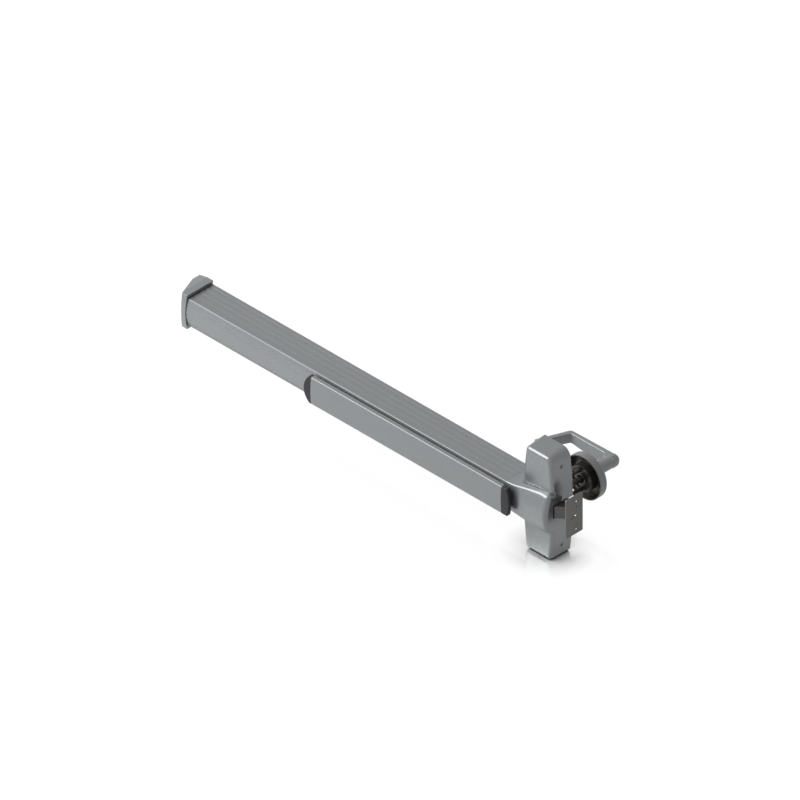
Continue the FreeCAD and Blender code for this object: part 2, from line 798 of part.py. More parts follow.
def make_bell_crank(side):
    """Crank with a hub and two slotted arms, drawn about its pivot and set at its rest angle."""
    body = new_body(f"bell_crank_{side}")
    half = s.arm_width / 2
    low = -s.arm_thick / 2
    tip_short = s.short_arm + 1.0
    tip_long = s.pivot_depth - s.rail_back - s.bracket_base - 2 * s.fit_gap - half
    pad(body, "XY", rectangle(0, tip_short, -half, half), low, s.arm_thick, bows={1: (half * 1.0001, 1)})
    pad(body, "XY", rectangle(-half, half, 0, tip_long), low, s.arm_thick, bows={2: (half * 1.0001, 1)})
    pad_circle(body, "XY", 0, 0, s.hub_radius, -s.hub_height / 2, s.hub_height)
    pocket_circles(body, "XY", [(0, 0, s.pivot_radius + s.pin_gap)], -s.hub_height / 2 - 1.0, s.hub_height + 2.0)
    lean = math.radians(CRANK_REST_ANGLE)
    stretch = 1 / math.cos(lean) - 1
    slot_half = s.pin_radius + s.slot_gap
    corners, bows = slot_outline(s.short_arm - s.fit_gap, s.short_arm * (1 + stretch) + s.fit_gap, as_size(0.0), slot_half)
    pocket(body, "XY", corners, low - 1.0, s.arm_thick + 2.0, bows=bows)
    first = s.long_arm - s.fit_gap
    last = s.long_arm * (1 + stretch) + s.fit_gap
    corners = [(slot_half, first), (slot_half, last), (-slot_half, last), (-slot_half, first)]
    pocket(body, "XY", corners, low - 1.0, s.arm_thick + 2.0,
           bows={1: (slot_half * 1.0001, 1), 3: (slot_half * 1.0001, 1)})
    body.Placement = Placement(Vector(CRANK_PLACES[side].value, -s.pivot_depth.value, RAIL_MIDDLE.value),
                               Rotation(Vector(0, 0, 1), CRANK_REST_ANGLE))
    keep(body)


ROD_END = -(s.stem_reach - s.collar_thick - s.fit_gap)


def make_actuator_rod():
    """Flat bar that ties both cranks to the latch, with a round pin under it at each crank."""
    body = new_body("actuator_rod")
    left = CRANK_PLACES["left"] + ROD_SHIFT - 12.0
    right = ROD_END
    half = s.rod_width / 2
    pad(body, "XY", rectangle(left, right, -(s.rod_depth + half), -(s.rod_depth - half)), ROD_LOW, s.rod_thick)
    pins = [(CRANK_PLACES[side] + ROD_SHIFT, -s.rod_depth, s.pin_radius + s.pin_gap) for side in ("left", "right")]
    pocket_circles(body, "XY", pins, ROD_LOW - 1.0, s.rod_thick + 2.0)
    peg = SPRING_PEG
    pad(body, "XY", rectangle(peg - 2.0, peg, -(s.rod_depth + 4.0), -(s.rod_depth - 4.0)), SPRING_LEVEL - 4.0,
        ROD_LOW - SPRING_LEVEL + 4.0)
    keep(body)
    for side in ("left", "right"):
        pin = new_body(f"rod_pin_{side}")
        low = RAIL_MIDDLE - s.arm_thick / 2 - 0.8
        pad_circle(pin, "XY", CRANK_PLACES[side] + ROD_SHIFT, -s.rod_depth, s.pin_radius, low, ROD_HIGH - low)
        keep(pin)


GUIDE_PLACES = {"left": PAD_MIDDLE - s.guide_left_place, "right": PAD_MIDDLE + s.guide_right_place}
SPRING_PEG = GUIDE_PLACES["right"] - s.guide_width / 2 - s.rod_spring_length
SPRING_LEVEL = RAIL_MIDDLE - 1.4


def make_rod_guide(side):
    """Plastic block on the rail's back wall with a slot that the rod slides through."""
    body = new_body(f"rod_guide_{side}")
    start = GUIDE_PLACES[side] - s.guide_width / 2
    front = s.rod_depth + s.rod_width / 2 + 3.0
    low = RAIL_MIDDLE - 9.0
    high = ROD_HIGH + 5.0
    pad(body, "YZ", [(-s.rail_back, low), (-front, low, 2.0), (-front, high, 2.0), (-s.rail_back, high)],
        start, s.guide_width)
    gap = s.fit_gap
    half = s.rod_width / 2 + gap
    pocket(body, "YZ", rectangle(-(s.rod_depth + half), -(s.rod_depth - half), ROD_LOW - gap, ROD_HIGH + gap),
           start - 1.0, s.guide_width + 2.0)
    keep(body)


def coil(start, end, radius, wire, turns):
    """A coil spring between two points: six-sided rings along a helix, joined by a ruled loft."""
    axis = end - start
    steps = 12
    sides = 6
    rise = (axis.Length - wire) / (turns * steps)
    rings = []
    for step in range(turns * steps + 1):
        turn = 2 * math.pi * step / steps
        outward = Vector(math.cos(turn), math.sin(turn), 0)
        centre = outward * radius + Vector(0, 0, rise * step + wire / 2)
        corners = []
        for side in range(sides):
            angle = 2 * math.pi * side / sides
            corners.append(centre + outward * (wire / 2 * math.cos(angle)) + Vector(0, 0, wire / 2 * math.sin(angle)))
        rings.append(Part.makePolygon(corners + [corners[0]]))
    spring = Part.makeLoft(rings, True, True)
    spring.Placement = Placement(start, Rotation(Vector(0, 0, 1), axis))
    return spring


def make_rod_spring():
    start = Vector(SPRING_PEG.value + 0.2, -s.rod_depth.value, SPRING_LEVEL.value)
    end = Vector((GUIDE_PLACES["right"] - s.guide_width / 2).value - 0.2, start.y, start.z)
    shape_feature("rod_spring", coil(start, end, s.rod_spring_radius.value, s.rod_spring_wire.value, 9))


# Head chassis, latch and its guide

PLATE_HALF_WIDTH = s.head_end_half_width - s.plate_side_gap
LUG_HEIGHT = s.head_half_height - s.lug_drop


def make_head_chassis():
    """Base plate with a tab towards the rail and four folded lugs for the cover screws."""
    body = new_body("head_chassis")
    wide = PLATE_HALF_WIDTH
    tall = s.head_half_height - s.plate_end_gap
    tab_high = RAIL_MIDDLE + s.tab_half_height
    tab_low = RAIL_MIDDLE - s.tab_half_height
    corners = [(wide, -tall, s.plate_corner), (wide, tall, s.plate_corner), (-wide, tall, s.plate_corner),
               (-wide, tab_high), (-s.tab_reach, tab_high), (-s.tab_reach, tab_low), (-wide, tab_low),
               (-wide, -tall, s.plate_corner)]
    pad(body, "XZ", corners, 0, s.plate_thick)
    for side in (1, -1):
        outer = side * wide
        inner = side * (wide - s.lug_sheet)
        for rise in (1, -1):
            middle = rise * LUG_HEIGHT
            lug = rectangle(inner, outer, middle - s.lug_half_width, middle + s.lug_half_width)
            pad(body, "XZ", lug, s.plate_thick, s.lug_reach - s.plate_thick)
    holes = [(x * s.screw_spacing_x / 2, z * s.screw_spacing_z / 2, s.screw_hole) for x in (1, -1) for z in (1, -1)]
    holes += [(0, s.post_rise, s.bolt_radius + 0.3), (0, -s.post_rise, s.bolt_radius + 0.3), (0, 0, s.sleeve_radius + 1.0)]
    pocket_circles(body, "XZ", holes, -1.0, s.plate_thick + 2.0)
    screw_holes = [(-s.cover_screw_depth, rise * LUG_HEIGHT, s.screw_shank + s.pin_gap) for rise in (1, -1)]
    pocket_circles(body, "YZ", screw_holes, wide - s.lug_sheet - 1.0, s.lug_sheet + 2.0)
    pocket_circles(body, "YZ", screw_holes, -(wide + 1.0), s.lug_sheet + 2.0)
    keep(body)


def make_rail_tongue():
    """Strap that ties the rail's back wall to the chassis tab."""
    body = new_body("rail_tongue")
    left = CRANK_PLACES["right"] + s.lug_width / 2 + s.tongue_clear
    corners = rectangle(left, -(PLATE_HALF_WIDTH + 1.5), RAIL_MIDDLE - s.tongue_half_height,
                        RAIL_MIDDLE + s.tongue_half_height, 3.0)
    pad(body, "XZ", corners, s.rail_back, s.tongue_thick)
    keep(body)


def make_latch_guide():
    """Welded guide: two side plates on the chassis, a front plate, a back plate and a spring plate."""
    body = new_body("latch_guide")
    inner = s.latch_half_height + s.fit_gap
    outer = inner + s.guide_wall
    front = s.latch_front + s.fit_gap
    back = s.latch_back - s.fit_gap
    left = -s.guide_left
    for sign in (1, -1):
        pad(body, "YZ", rectangle(-(front + s.guide_wall), -s.plate_thick, sign * inner, sign * outer),
            left, s.guide_right + s.guide_left)
    pad(body, "YZ", rectangle(-(front + s.guide_wall), -front, -inner, inner), left, s.guide_right + s.guide_left)
    pad(body, "YZ", rectangle(-back, -(back - s.guide_wall), -inner, inner), 0, s.guide_right)
    pad(body, "YZ", rectangle(-front, -(back - s.guide_wall), -inner, inner), left, s.guide_wall)
    pocket_circles(body, "YZ", [(-s.stem_depth, 0, s.stem_radius + s.fit_gap)], left - 1.0, s.guide_wall + 2.0)
    keep(body)


LATCH_BACK_FACE = s.head_half_width - s.latch_inside
LATCH_TIP_X = s.head_half_width + s.latch_throw


def make_latch():
    """Bolt with its bevel on the room side, and the stem that carries the spring and collar."""
    bolt = new_body("latch_bolt")
    corners = [(LATCH_BACK_FACE, -s.latch_front), (s.head_half_width, -s.latch_front),
               (LATCH_TIP_X, -s.latch_tip, 1.5), (LATCH_TIP_X, -s.latch_back, 1.5), (LATCH_BACK_FACE, -s.latch_back)]
    pad(bolt, "XY", corners, -s.latch_half_height, 2 * s.latch_half_height)
    pocket_circles(bolt, "YZ", [(-s.stem_depth, 0, s.stem_radius + s.pin_gap)], LATCH_BACK_FACE - 1.0, 13.0)
    keep(bolt)
    stem = new_body("latch_stem")
    pad_circle(stem, "YZ", -s.stem_depth, 0, s.stem_radius, -s.stem_reach, s.stem_reach + LATCH_BACK_FACE + 12.0)
    keep(stem)
    collar = new_body("stem_collar")
    pad_circle(collar, "YZ", -s.stem_depth, 0, s.collar_radius, -s.stem_reach, s.collar_thick)
    pocket_circles(collar, "YZ", [(-s.stem_depth, 0, s.stem_radius + s.pin_gap)], -s.stem_reach - 1.0,
                   s.collar_thick + 2.0)
    keep(collar)
    start = Vector(-s.guide_left.value + s.guide_wall.value + 0.2, -s.stem_depth.value, 0)
    end = Vector(LATCH_BACK_FACE.value - 0.2, -s.stem_depth.value, 0)
    shape_feature("latch_spring", coil(start, end, s.latch_spring_radius.value, s.latch_spring_wire.value, 6))


def make_pull_fork():
    """Fork on the rod's end that straddles the stem behind its collar."""
    body = new_body("pull_fork")
    slot_half = s.stem_radius + 2 * s.fit_gap
    near = s.rod_depth - s.rod_width / 2
    far = s.stem_depth + s.collar_radius
    corners = [(-near, -9.0), (-near, 9.0), (-far, 9.0), (-far, slot_half),
               (-(s.stem_depth - slot_half), slot_half), (-(s.stem_depth - slot_half), -slot_half),
               (-far, -slot_half), (-far, -9.0)]
    pad(body, "YZ", corners, ROD_END, s.fork_thick)
    keep(body)


# Head cover

def barrel_section(depth, inset):
    """Outline of the head at a depth, with straight ends and bowed sides."""
    slope = s.head_draft.value / s.head_depth.value
    wide = s.head_half_width.value - slope * depth - inset
    narrow = s.head_end_half_width.value - slope * depth - inset
    tall = s.head_half_height.value - slope * depth - inset
    extra = s.head_left_extra.value
    a = Vector(-narrow - extra, -depth, tall)
    b = Vector(narrow, -depth, tall)
    c = Vector(narrow, -depth, -tall)
    d = Vector(-narrow - extra, -depth, -tall)
    left = Vector(-wide - extra, -depth, 0)
    edges = [Part.LineSegment(a, b).toShape(), Part.Arc(b, Vector(wide, -depth, 0), c).toShape(),
             Part.LineSegment(c, d).toShape(), Part.Arc(d, left, a).toShape()]
    return Part.Wire(edges)


def edge_middle(edge):
    return edge.valueAt((edge.FirstParameter + edge.LastParameter) / 2)


def drafted_barrel(inset, full_depth):
    """The head's drafted form, run on to the bulge's depth, each corner with a rounding at door and front."""
    solid = Part.makeLoft([barrel_section(0.0, inset), barrel_section(full_depth - inset, inset)], True, True)
    soft, plain = s.head_soft_corner.value, s.head_corner.value
    corners = {(1, 1): (s.head_wide_corner.value, plain), (-1, 1): (s.head_tight_corner.value, soft),
               (-1, -1): (soft, soft), (1, -1): (plain, plain)}
    for (side, rise), radii in corners.items():
        mark = Vector(side * s.head_end_half_width.value, -full_depth / 2, rise * s.head_half_height.value)
        long_edges = [edge for edge in solid.Edges if abs(edge.Vertexes[0].Y - edge.Vertexes[-1].Y) > 1]
        edge = min(long_edges, key=lambda item: (edge_middle(item) - mark).Length)
        at_door, at_front = (radius - inset for radius in radii)
        if edge.Vertexes[0].Y > -1:
            solid = solid.makeFillet(at_door, at_front, [edge])
        else:
            solid = solid.makeFillet(at_front, at_door, [edge])
    return solid


def swoop_section(along, half, edge_radius, inset):
    """Section of the bulge across the rail: flat top, rounded edge and the rail's bowed front."""
    front_radius = FRONT_RADIUS.value + 0.1 - inset
    centre_depth = s.rail_depth.value + s.front_bow.value - FRONT_RADIUS.value
    half = half - inset
    edge_radius = max(edge_radius - inset, 0.8)
    middle = RAIL_MIDDLE.value
    rise = half - edge_radius
    depth = centre_depth + math.sqrt((front_radius - edge_radius) ** 2 - rise ** 2)
    centre = Vector(along, -depth, middle + rise)
    outward = Vector(0, -(depth - centre_depth), rise).normalize()
    on_top = Vector(along, -depth, middle + half)
    on_front = Vector(along, -centre_depth, middle) + outward * front_radius
    between = centre + (Vector(0, 0, 1) + outward).normalize() * edge_radius
    nose = Vector(along, -(centre_depth + front_radius), middle)
    back = Vector(along, 0, middle + half)

    def mirrored(point):
        return Vector(point.x, point.y, 2 * middle - point.z)

    edges = [Part.LineSegment(back, on_top).toShape(), Part.Arc(on_top, between, on_front).toShape(),
             Part.Arc(on_front, nose, mirrored(on_front)).toShape(),
             Part.Arc(mirrored(on_front), mirrored(between), mirrored(on_top)).toShape(),
             Part.LineSegment(mirrored(on_top), mirrored(back)).toShape(),
             Part.LineSegment(mirrored(back), back).toShape()]
    return Part.Wire(edges)


def swoop_stations():
    """Places along X, half heights and edge radii of the bulge, from the seam to past the head."""
    half = s.rail_height.value / 2 + 0.4
    seam = -s.seam.value
    width = s.head_half_width.value
    rises = [(seam, 0.0, 3.5), (seam + 10.0, 0.4, 3.8), (seam + 22.0, 1.8, 4.5), (-0.8 * width, 4.6, 5.5),
             (-0.4 * width, 7.6, 6.5), (0.0, 10.1, 7.5), (0.52 * width, 12.4, 9.0), (1.16 * width, 13.6, 13.0)]
    return [(along, half + rise, radius) for along, rise, radius in rises]


def cover_solid(inset, rounded):
    """The head's whole outer form, or with an inset the space inside its wall."""
    full_depth = s.rail_depth.value + s.front_bow.value + 0.3
    seam = s.seam.value
    barrel = drafted_barrel(inset, full_depth)
    face_depth = s.head_depth.value - inset
    high = 4 * s.head_half_height.value
    block = barrel.common(Part.makeBox(4 * seam, face_depth, high, Vector(-2 * seam, -face_depth, -high / 2)))
    if rounded:
        rim = [edge for edge in block.Edges if all(abs(vertex.Y + face_depth) < 1e-3 for vertex in edge.Vertexes)]
        block = block.makeFillet(s.head_edge.value, rim)
    tall = 2.4 * s.rail_height.value
    right_half = barrel.common(Part.makeBox(2 * seam, full_depth, tall, Vector(0, -full_depth, -tall / 2)))
    left_half = Part.makeBox(seam + 10, full_depth, tall, Vector(-seam - 10, -full_depth, -tall / 2))
    loft = Part.makeLoft([swoop_section(*station, inset) for station in swoop_stations()], True, False)
    bulge = loft.common(right_half.fuse(left_half))
    side_rim = [edge for edge in bulge.Edges
                if all(point.x > s.head_end_half_width.value - inset for point in edge.discretize(5))
                and edge_middle(edge).y < -1]
    bulge = bulge.makeFillet(s.bulge_edge.value - inset, side_rim)
    return block.fuse(bulge).removeSplitter()


def make_head_cover():
    wall = s.cover_wall.value
    shell = cover_solid(0.0, True).cut(cover_solid(wall, False))
    middle = RAIL_MIDDLE.value
    neck_half = s.rail_height.value / 2 + 0.4 - wall
    front_radius = FRONT_RADIUS.value + 0.1 - wall
    mouth_depth = s.rail_depth.value - wall
    mouth = Part.makeBox(3 * wall, mouth_depth, 2 * neck_half - 2 * wall,
                         Vector(-s.seam.value - wall, -mouth_depth, middle - neck_half + wall))
    shell = shell.cut(mouth)
    depth = s.opening_depth.value
    half = s.opening_half_height.value
    opening = Part.makeBox(20, depth + 1, 2 * half, Vector(s.head_half_width.value - 12, -depth, -half))
    shell = shell.cut(opening)
    for face, axis in screw_seats():
        shell = shell.cut(Part.makeCylinder(s.screw_shank.value + s.fit_gap.value, 4 * wall, face - axis * 4 * wall, axis))
        shell = shell.cut(screw_head_cone(face, axis, s.fit_gap.value))
    shape_feature("head_cover", shell)


def screw_seats():
    """Where each cover screw's axis leaves the side of the head, and its direction."""
    bow = s.head_half_width.value - s.head_end_half_width.value
    side_radius = bow_radius(2 * s.head_half_height.value, bow)
    depth = s.cover_screw_depth.value
    fallen = below_crown(side_radius, LUG_HEIGHT.value) + s.head_draft.value * depth / s.head_depth.value
    reach = s.head_half_width.value - fallen
    return [(Vector(face, -depth, rise * LUG_HEIGHT.value), Vector(side, 0, 0))
            for side, face in ((1, reach), (-1, -reach - s.head_left_extra.value)) for rise in (1, -1)]


def screw_head_cone(face, axis, gap):
    """A countersunk head, or with a gap its seat."""
    length = s.screw_head_length.value
    small = s.screw_shank.value + gap
    large = s.screw_head.value + gap
    slope = (large - small) / length
    if gap > 0:
        return Part.makeCone(small, large + slope, length + 1.0, face - axis * length, axis)
    return Part.makeCone(small, large, length, face - axis * (length + s.pin_gap.value), axis)


def make_cover_screws():
    """Four countersunk screws through the cover into the chassis lugs."""
    screws = []
    for face, axis in screw_seats():
        head = screw_head_cone(face, axis, 0.0)
        length = s.cover_screw_length.value
        shank = Part.makeCylinder(s.screw_shank.value, length, face - axis * (length + 1.0), axis)
        drive = Part.makeBox(1.8, 1.8, 1.8, Vector(-0.9, -0.9, -0.9))
        drive.Placement = Placement(face, Rotation(Vector(1, 0, 0), 45))
        screws.append(shank.fuse(head).cut(drive))
    shape_feature("cover_screws", Part.makeCompound(screws))


# Rim strike

def make_strike():
    """Frame plate with the keeper that the latch's flat face bears on."""
    body = new_body("strike")
    front = s.strike_front
    back = s.strike_front - s.strike_width
    low = -s.strike_height / 2 - s.strike_drop
    plate_left = s.strike_reach - s.strike_thick
    pad(body, "YZ", rectangle(-front, -back, low, low + s.strike_height, 2.5), plate_left, s.strike_thick)
    keeper_front = s.latch_back - s.fit_gap
    keeper_back = keeper_front - s.keeper_thick
    pad(body, "YZ", rectangle(-keeper_front, -keeper_back, -s.keeper_half_height, s.keeper_half_height),
        plate_left - s.keeper_reach, s.keeper_reach)
    middle = -s.strike_slot_place
    centre = -s.strike_hole_drop
    slot_half = s.strike_slot_width / 2
    reach = s.strike_slot / 2 - slot_half
    corners, bows = slot_outline(middle - reach, middle + reach, centre, slot_half)
    pocket(body, "YZ", corners, plate_left - s.strike_slot_sink, s.strike_thick + s.strike_slot_sink + 1.0, bows=bows)
    holes = [(-s.strike_hole_place, centre + rise * s.strike_hole_rise, s.strike_hole) for rise in (1, -1)]
    pocket_circles(body, "YZ", holes, plate_left - 1.0, s.strike_thick + 2.0)
    dimples = [(-s.strike_hole_place, centre + rise * s.strike_dimple_rise, s.strike_dimple) for rise in (1, -1)]
    pocket_circles(body, "YZ", dimples, s.strike_reach - s.strike_dimple_sink, s.strike_dimple_sink + 1.0)
    keep(body)


# Outside trim

ROSE_FACE = s.door_gap + s.rose_depth
ROSE_HOLE = s.neck_radius + 0.8


def make_rose():
    """Cup-shaped rose, open towards the door."""
    body = new_body("rose")
    pad_circle(body, "XZ", 0, 0, s.rose_radius, -ROSE_FACE, s.rose_depth)
    pocket_circles(body, "XZ", [(0, 0, s.rose_radius - s.rose_wall)], -(ROSE_FACE - s.rose_wall), s.rose_depth)
    pocket_circles(body, "XZ", [(0, 0, ROSE_HOLE)], -ROSE_FACE - 1.0, s.rose_depth)
    fillet(body, s.rose_edge, [Vector(0, ROSE_FACE.value, s.rose_radius.value)])
    keep(body)


def make_trim_housing():
    """Spring housing inside the rose, with a flange, a sunk face and a bore for the lever's sleeve."""
    body = new_body("trim_housing")
    near = s.door_gap - s.drum_front
    far = ROSE_FACE - s.rose_wall
    flange = 4.0
    pad_circle(body, "XZ", 0, 0, s.drum_flange, -far, flange)
    pad_circle(body, "XZ", 0, 0, s.drum_radius, -(far - flange), far - flange - near)
    pocket_circles(body, "XZ", [(0, 0, s.drum_pocket)], -(near + 2.5), 3.5)
    posts = [(0, rise * s.post_rise, s.post_radius + s.pin_gap) for rise in (1, -1)]
    for post in posts:
        pocket_circles(body, "XZ", [post], -(near + 2.5), 3.5)
    pad_circle(body, "XZ", 0, 0, s.hub_ring_radius, -(near + 3.0), 4.5)
    pocket_circles(body, "XZ", [(0, 0, s.drum_bore)], -(far + 1.0), far - near + 4.0)
    keep(body)


def make_trim_posts():
    """Two threaded posts on the housing, bored for the through bolts."""
    for name, rise in (("trim_post_upper", 1), ("trim_post_lower", -1)):
        body = new_body(name)
        base = s.door_gap - s.drum_front + 2.5
        pad_circle(body, "XZ", 0, rise * s.post_rise, s.post_radius, -base, base - s.post_end)
        pocket_circles(body, "XZ", [(0, rise * s.post_rise, s.bolt_radius + s.pin_gap)], -(base - 3.0),
                       base - 3.0 - s.post_end + 1.0)
        keep(body)


def make_through_bolts():
    """Bolts from the chassis through the door into the posts."""
    for name, rise in (("through_bolt_upper", 1), ("through_bolt_lower", -1)):
        body = new_body(name)
        reach = s.post_end + 12.0
        pad_circle(body, "XZ", 0, rise * s.post_rise, s.bolt_radius, -reach, reach + s.plate_thick + 1.0)
        pad_circle(body, "XZ", 0, rise * s.post_rise, s.bolt_head_radius, s.plate_thick, s.bolt_head_thick)
        keep(body)


def make_spindle():
    """Square spindle from the lever to the cam at the chassis."""
    body = new_body("spindle")
    half = s.spindle_half
    far = ROSE_FACE + 6.0
    pad(body, "XZ", rectangle(-half, half, -half, half, 0.8), -far, far + s.spindle_end)
    keep(body)


def make_trim_cam():
    """Cam on the spindle's end, behind the latch."""
    body = new_body("trim_cam")
    start = s.spindle_end - s.cam_thick
    pad_circle(body, "XZ", 0, 0, s.cam_radius * 0.75, start, s.cam_thick)
    pad(body, "XZ", rectangle(-s.cam_radius * 0.45, s.cam_radius * 0.45, -s.cam_radius, s.cam_radius, 2.0), start, s.cam_thick)
    half = s.spindle_half
    pocket(body, "XZ", rectangle(-half, half, -half, half, 0.8), start - 1.0, s.cam_thick + 2.0)
    keep(body)


def make_lever():
    """Return lever: round neck with a sleeve, a blade rounded outside and a leg back towards the door."""
    body = new_body("lever")
    neck_start = ROSE_FACE + s.fit_gap
    outer = s.lever_outer
    inner = s.lever_inner
    leg_end = s.door_gap + s.lever_end_gap
    corner = -s.lever_corner
    tip = -s.lever_tip
    outline = [(s.neck_radius, inner - 8.0), (s.neck_radius, outer, s.lever_elbow),
               (corner, outer - s.lever_taper, s.lever_bend), (tip, leg_end + 3.0), (tip + s.lever_leg, leg_end),
               (corner + s.lever_leg, inner, s.lever_bend / 2), (-s.neck_radius - 5.0, inner),
               (-s.neck_radius + 1.0, inner - 8.0)]
    low = -s.lever_bottom
    high = s.lever_top
    pad(body, "XY", outline, low, high - low)
    under = [(s.neck_radius + 1.0, low), (tip - 1.0, low + s.lever_lift), (tip - 1.0, low - 1.0),
             (s.neck_radius + 1.0, low - 1.0)]
    pocket(body, "XZ", under, -(outer + 1.0), outer - leg_end + 2.0)
    halfway = corner.value / 2
    underneath = low.value + s.lever_lift.value / 2
    for radius, face in ((s.lever_edge, outer - s.lever_taper / 2), (s.lever_inner_edge, inner)):
        fillet(body, radius, [Vector(halfway, face.value, high.value), Vector(halfway, face.value, underneath)])
    sketch = sketch_on(body, "XY", 0)
    draw_outline(sketch, [(0, neck_start - s.sleeve_length), (s.sleeve_radius, neck_start - s.sleeve_length),
                          (s.sleeve_radius, neck_start), (s.neck_radius, neck_start),
                          (s.neck_radius, outer - 1.0, s.lever_elbow - 1.0), (0, outer - 1.0)])
    turned = body.newObject("PartDesign::Revolution", "lever_neck")
    turned.Profile = sketch
    turned.ReferenceAxis = (sketch, ["V_Axis"])
    turned.Angle = 360
    body.Tip = turned
    half = s.spindle_half
    pocket(body, "XZ", rectangle(-half, half, -half, half), -(ROSE_FACE + 6.0), 6.0 + s.sleeve_length + 1.0)
    keep(body)


# Left end

def end_cap_solid(inset, open_by):
    """The end cap's outer form, or with an inset the space inside its wall."""
    lip = -END_LIP.value + open_by
    outer = -END_LEFT.value + inset
    flat_depth = s.end_flat.value
    front = s.end_depth.value + s.end_bow.value + 5.0
    slope = (s.end_length.value - s.end_front_length.value) / (s.end_depth.value - flat_depth)
    knee = flat_depth - inset * 0.4
    inner_front = outer + slope * (front - knee)
    points = [Vector(lip, 0, 0), Vector(outer, 0, 0), Vector(outer, -knee, 0),
              Vector(inner_front, -front, 0), Vector(lip, -front, 0)]
    if inner_front > lip - 0.5:
        reach = knee + (lip - outer) / slope
        points = [Vector(lip, 0, 0), Vector(outer, 0, 0), Vector(outer, -knee, 0), Vector(lip, -reach, 0)]
    edges = [Part.LineSegment(a, b).toShape() for a, b in zip(points, points[1:] + points[:1])]
    half = s.rail_height.value / 2 + s.end_proud.value - inset
    plan = Part.Face(Part.Wire(edges)).extrude(Vector(0, 0, 2 * half))
    plan.translate(Vector(0, 0, RAIL_MIDDLE.value - half))
    profile = bowed_block(s.end_depth.value - inset, half, s.end_bow.value, -END_LEFT.value - 1, lip + 1, 0.0)
    solid = plan.common(profile)
    length = s.end_chamfer_length.value
    drop = s.end_chamfer_drop.value
    for sign in (1, -1):
        level = RAIL_MIDDLE.value + sign * half
        corner = -END_LEFT.value
        triangle = [Vector(corner - 1, 1, level + sign), Vector(corner - 1, 1, level - sign * drop * (1 + 1 / length)),
                    Vector(corner + length, 1, level), Vector(corner + length, 1, level + sign)]
        outline = Part.makePolygon(triangle + [triangle[0]])
        solid = solid.cut(Part.Face(outline).extrude(Vector(0, -(front + 10), 0)))
    return solid


def make_end_cap():
    solid = end_cap_solid(0.0, 0.0)
    space = end_cap_solid(s.end_wall.value, -s.end_rim.value)
    gap = s.fit_gap.value
    round_rail = s.end_rail_gap.value
    rail_space = bowed_block(s.rail_depth.value + gap, s.rail_height.value / 2 + round_rail, s.front_bow.value,
                             RAIL_LEFT.value - gap, 1 - END_LIP.value, 0.0)
    shell = solid.cut(space).cut(rail_space)
    hole = s.screw_shank.value + gap
    for rise in (1, -1):
        face = Vector(-END_LEFT.value, -s.end_screw_depth.value, RAIL_MIDDLE.value + rise * s.end_screw_rise.value)
        axis = Vector(1, 0, 0)
        shell = shell.cut(Part.makeCylinder(hole, s.end_wall.value + 2, face - axis, axis))
        shell = shell.cut(Part.makeCone(s.end_screw_head.value + gap, hole, 2.4, face, axis))
    shape_feature("end_cap", shell)


def make_end_bracket():
    """Door bracket under the end cap: a foot, a tongue into the rail and two tapped ears."""
    body = new_body("end_bracket")
    left = -(END_LEFT - s.end_wall - 2 * s.fit_gap)
    right = RAIL_LEFT - s.fit_gap
    pad(body, "XZ", rectangle(left, right, RAIL_MIDDLE - 25.0, RAIL_MIDDLE + 25.0), 0, s.rail_back)
    pad(body, "XZ", rectangle(left, right + 34.0, RAIL_MIDDLE - 9.0, RAIL_MIDDLE + 9.0), s.rail_back, 2.5)
    for sign in (1, -1):
        middle = RAIL_MIDDLE + sign * s.end_screw_rise
        pad(body, "XZ", rectangle(left, left + 3.0, middle - 6.0, middle + 6.0), s.rail_back, 13.0)
    holes = [(-(END_LIP + s.end_length / 2 - 2.0), RAIL_MIDDLE + sign * s.end_hole_rise, s.end_hole_radius)
             for sign in (1, -1)]
    pocket_circles(body, "XZ", holes, -1.0, s.rail_back + 1.5)
    ears = [(-s.end_screw_depth, RAIL_MIDDLE + sign * s.end_screw_rise, s.screw_shank + s.pin_gap) for sign in (1, -1)]
    pocket_circles(body, "YZ", ears, left - 1.0, 6.0)
    keep(body)


def make_end_cap_screws():
    screws = []
    for rise in (1, -1):
        start = Vector(-END_LEFT.value, -s.end_screw_depth.value, RAIL_MIDDLE.value + rise * s.end_screw_rise.value)
        axis = Vector(1, 0, 0)
        head = Part.makeCone(s.end_screw_head.value, s.screw_shank.value, 2.2, start, axis)
        shank = Part.makeCylinder(s.screw_shank.value, 9.0, start + axis * 2.2, axis)
        screws.append(head.fuse(shank))
    shape_feature("end_cap_screws", Part.makeCompound(screws))


make_rail()
make_rail_filler()
make_push_pad()
make_pad_end_caps()
for hand in ("left", "right"):
    make_pad_carrier(hand)
    make_crank_bracket(hand)
    make_bell_crank(hand)
    make_rod_guide(hand)
make_actuator_rod()
make_rod_spring()
make_head_chassis()
make_rail_tongue()
make_latch_guide()
make_latch()
make_pull_fork()
make_head_cover()
make_cover_screws()
make_strike()
make_rose()
make_trim_housing()
make_trim_posts()
make_through_bolts()
make_spindle()
make_trim_cam()
make_lever()
make_end_cap()
make_end_bracket()
make_end_cap_screws()

doc.recompute()
for item in doc.Objects:
    if "Invalid" in item.State or "Error" in item.State:
        raise RuntimeError(f"{item.Name} failed: {item.State}")
for part in SUB_PARTS:
    if part.Shape.isNull() or not part.Shape.isValid():
        raise RuntimeError(f"{part.Name} has no valid shape")
for part in SUB_PARTS:
    part.Shape.exportStep(f"parts/{part.Label}.step")
print(f"{len(SUB_PARTS)} sub-parts written")
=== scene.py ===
import math

import bmesh
import bpy
from mathutils import Matrix, Vector


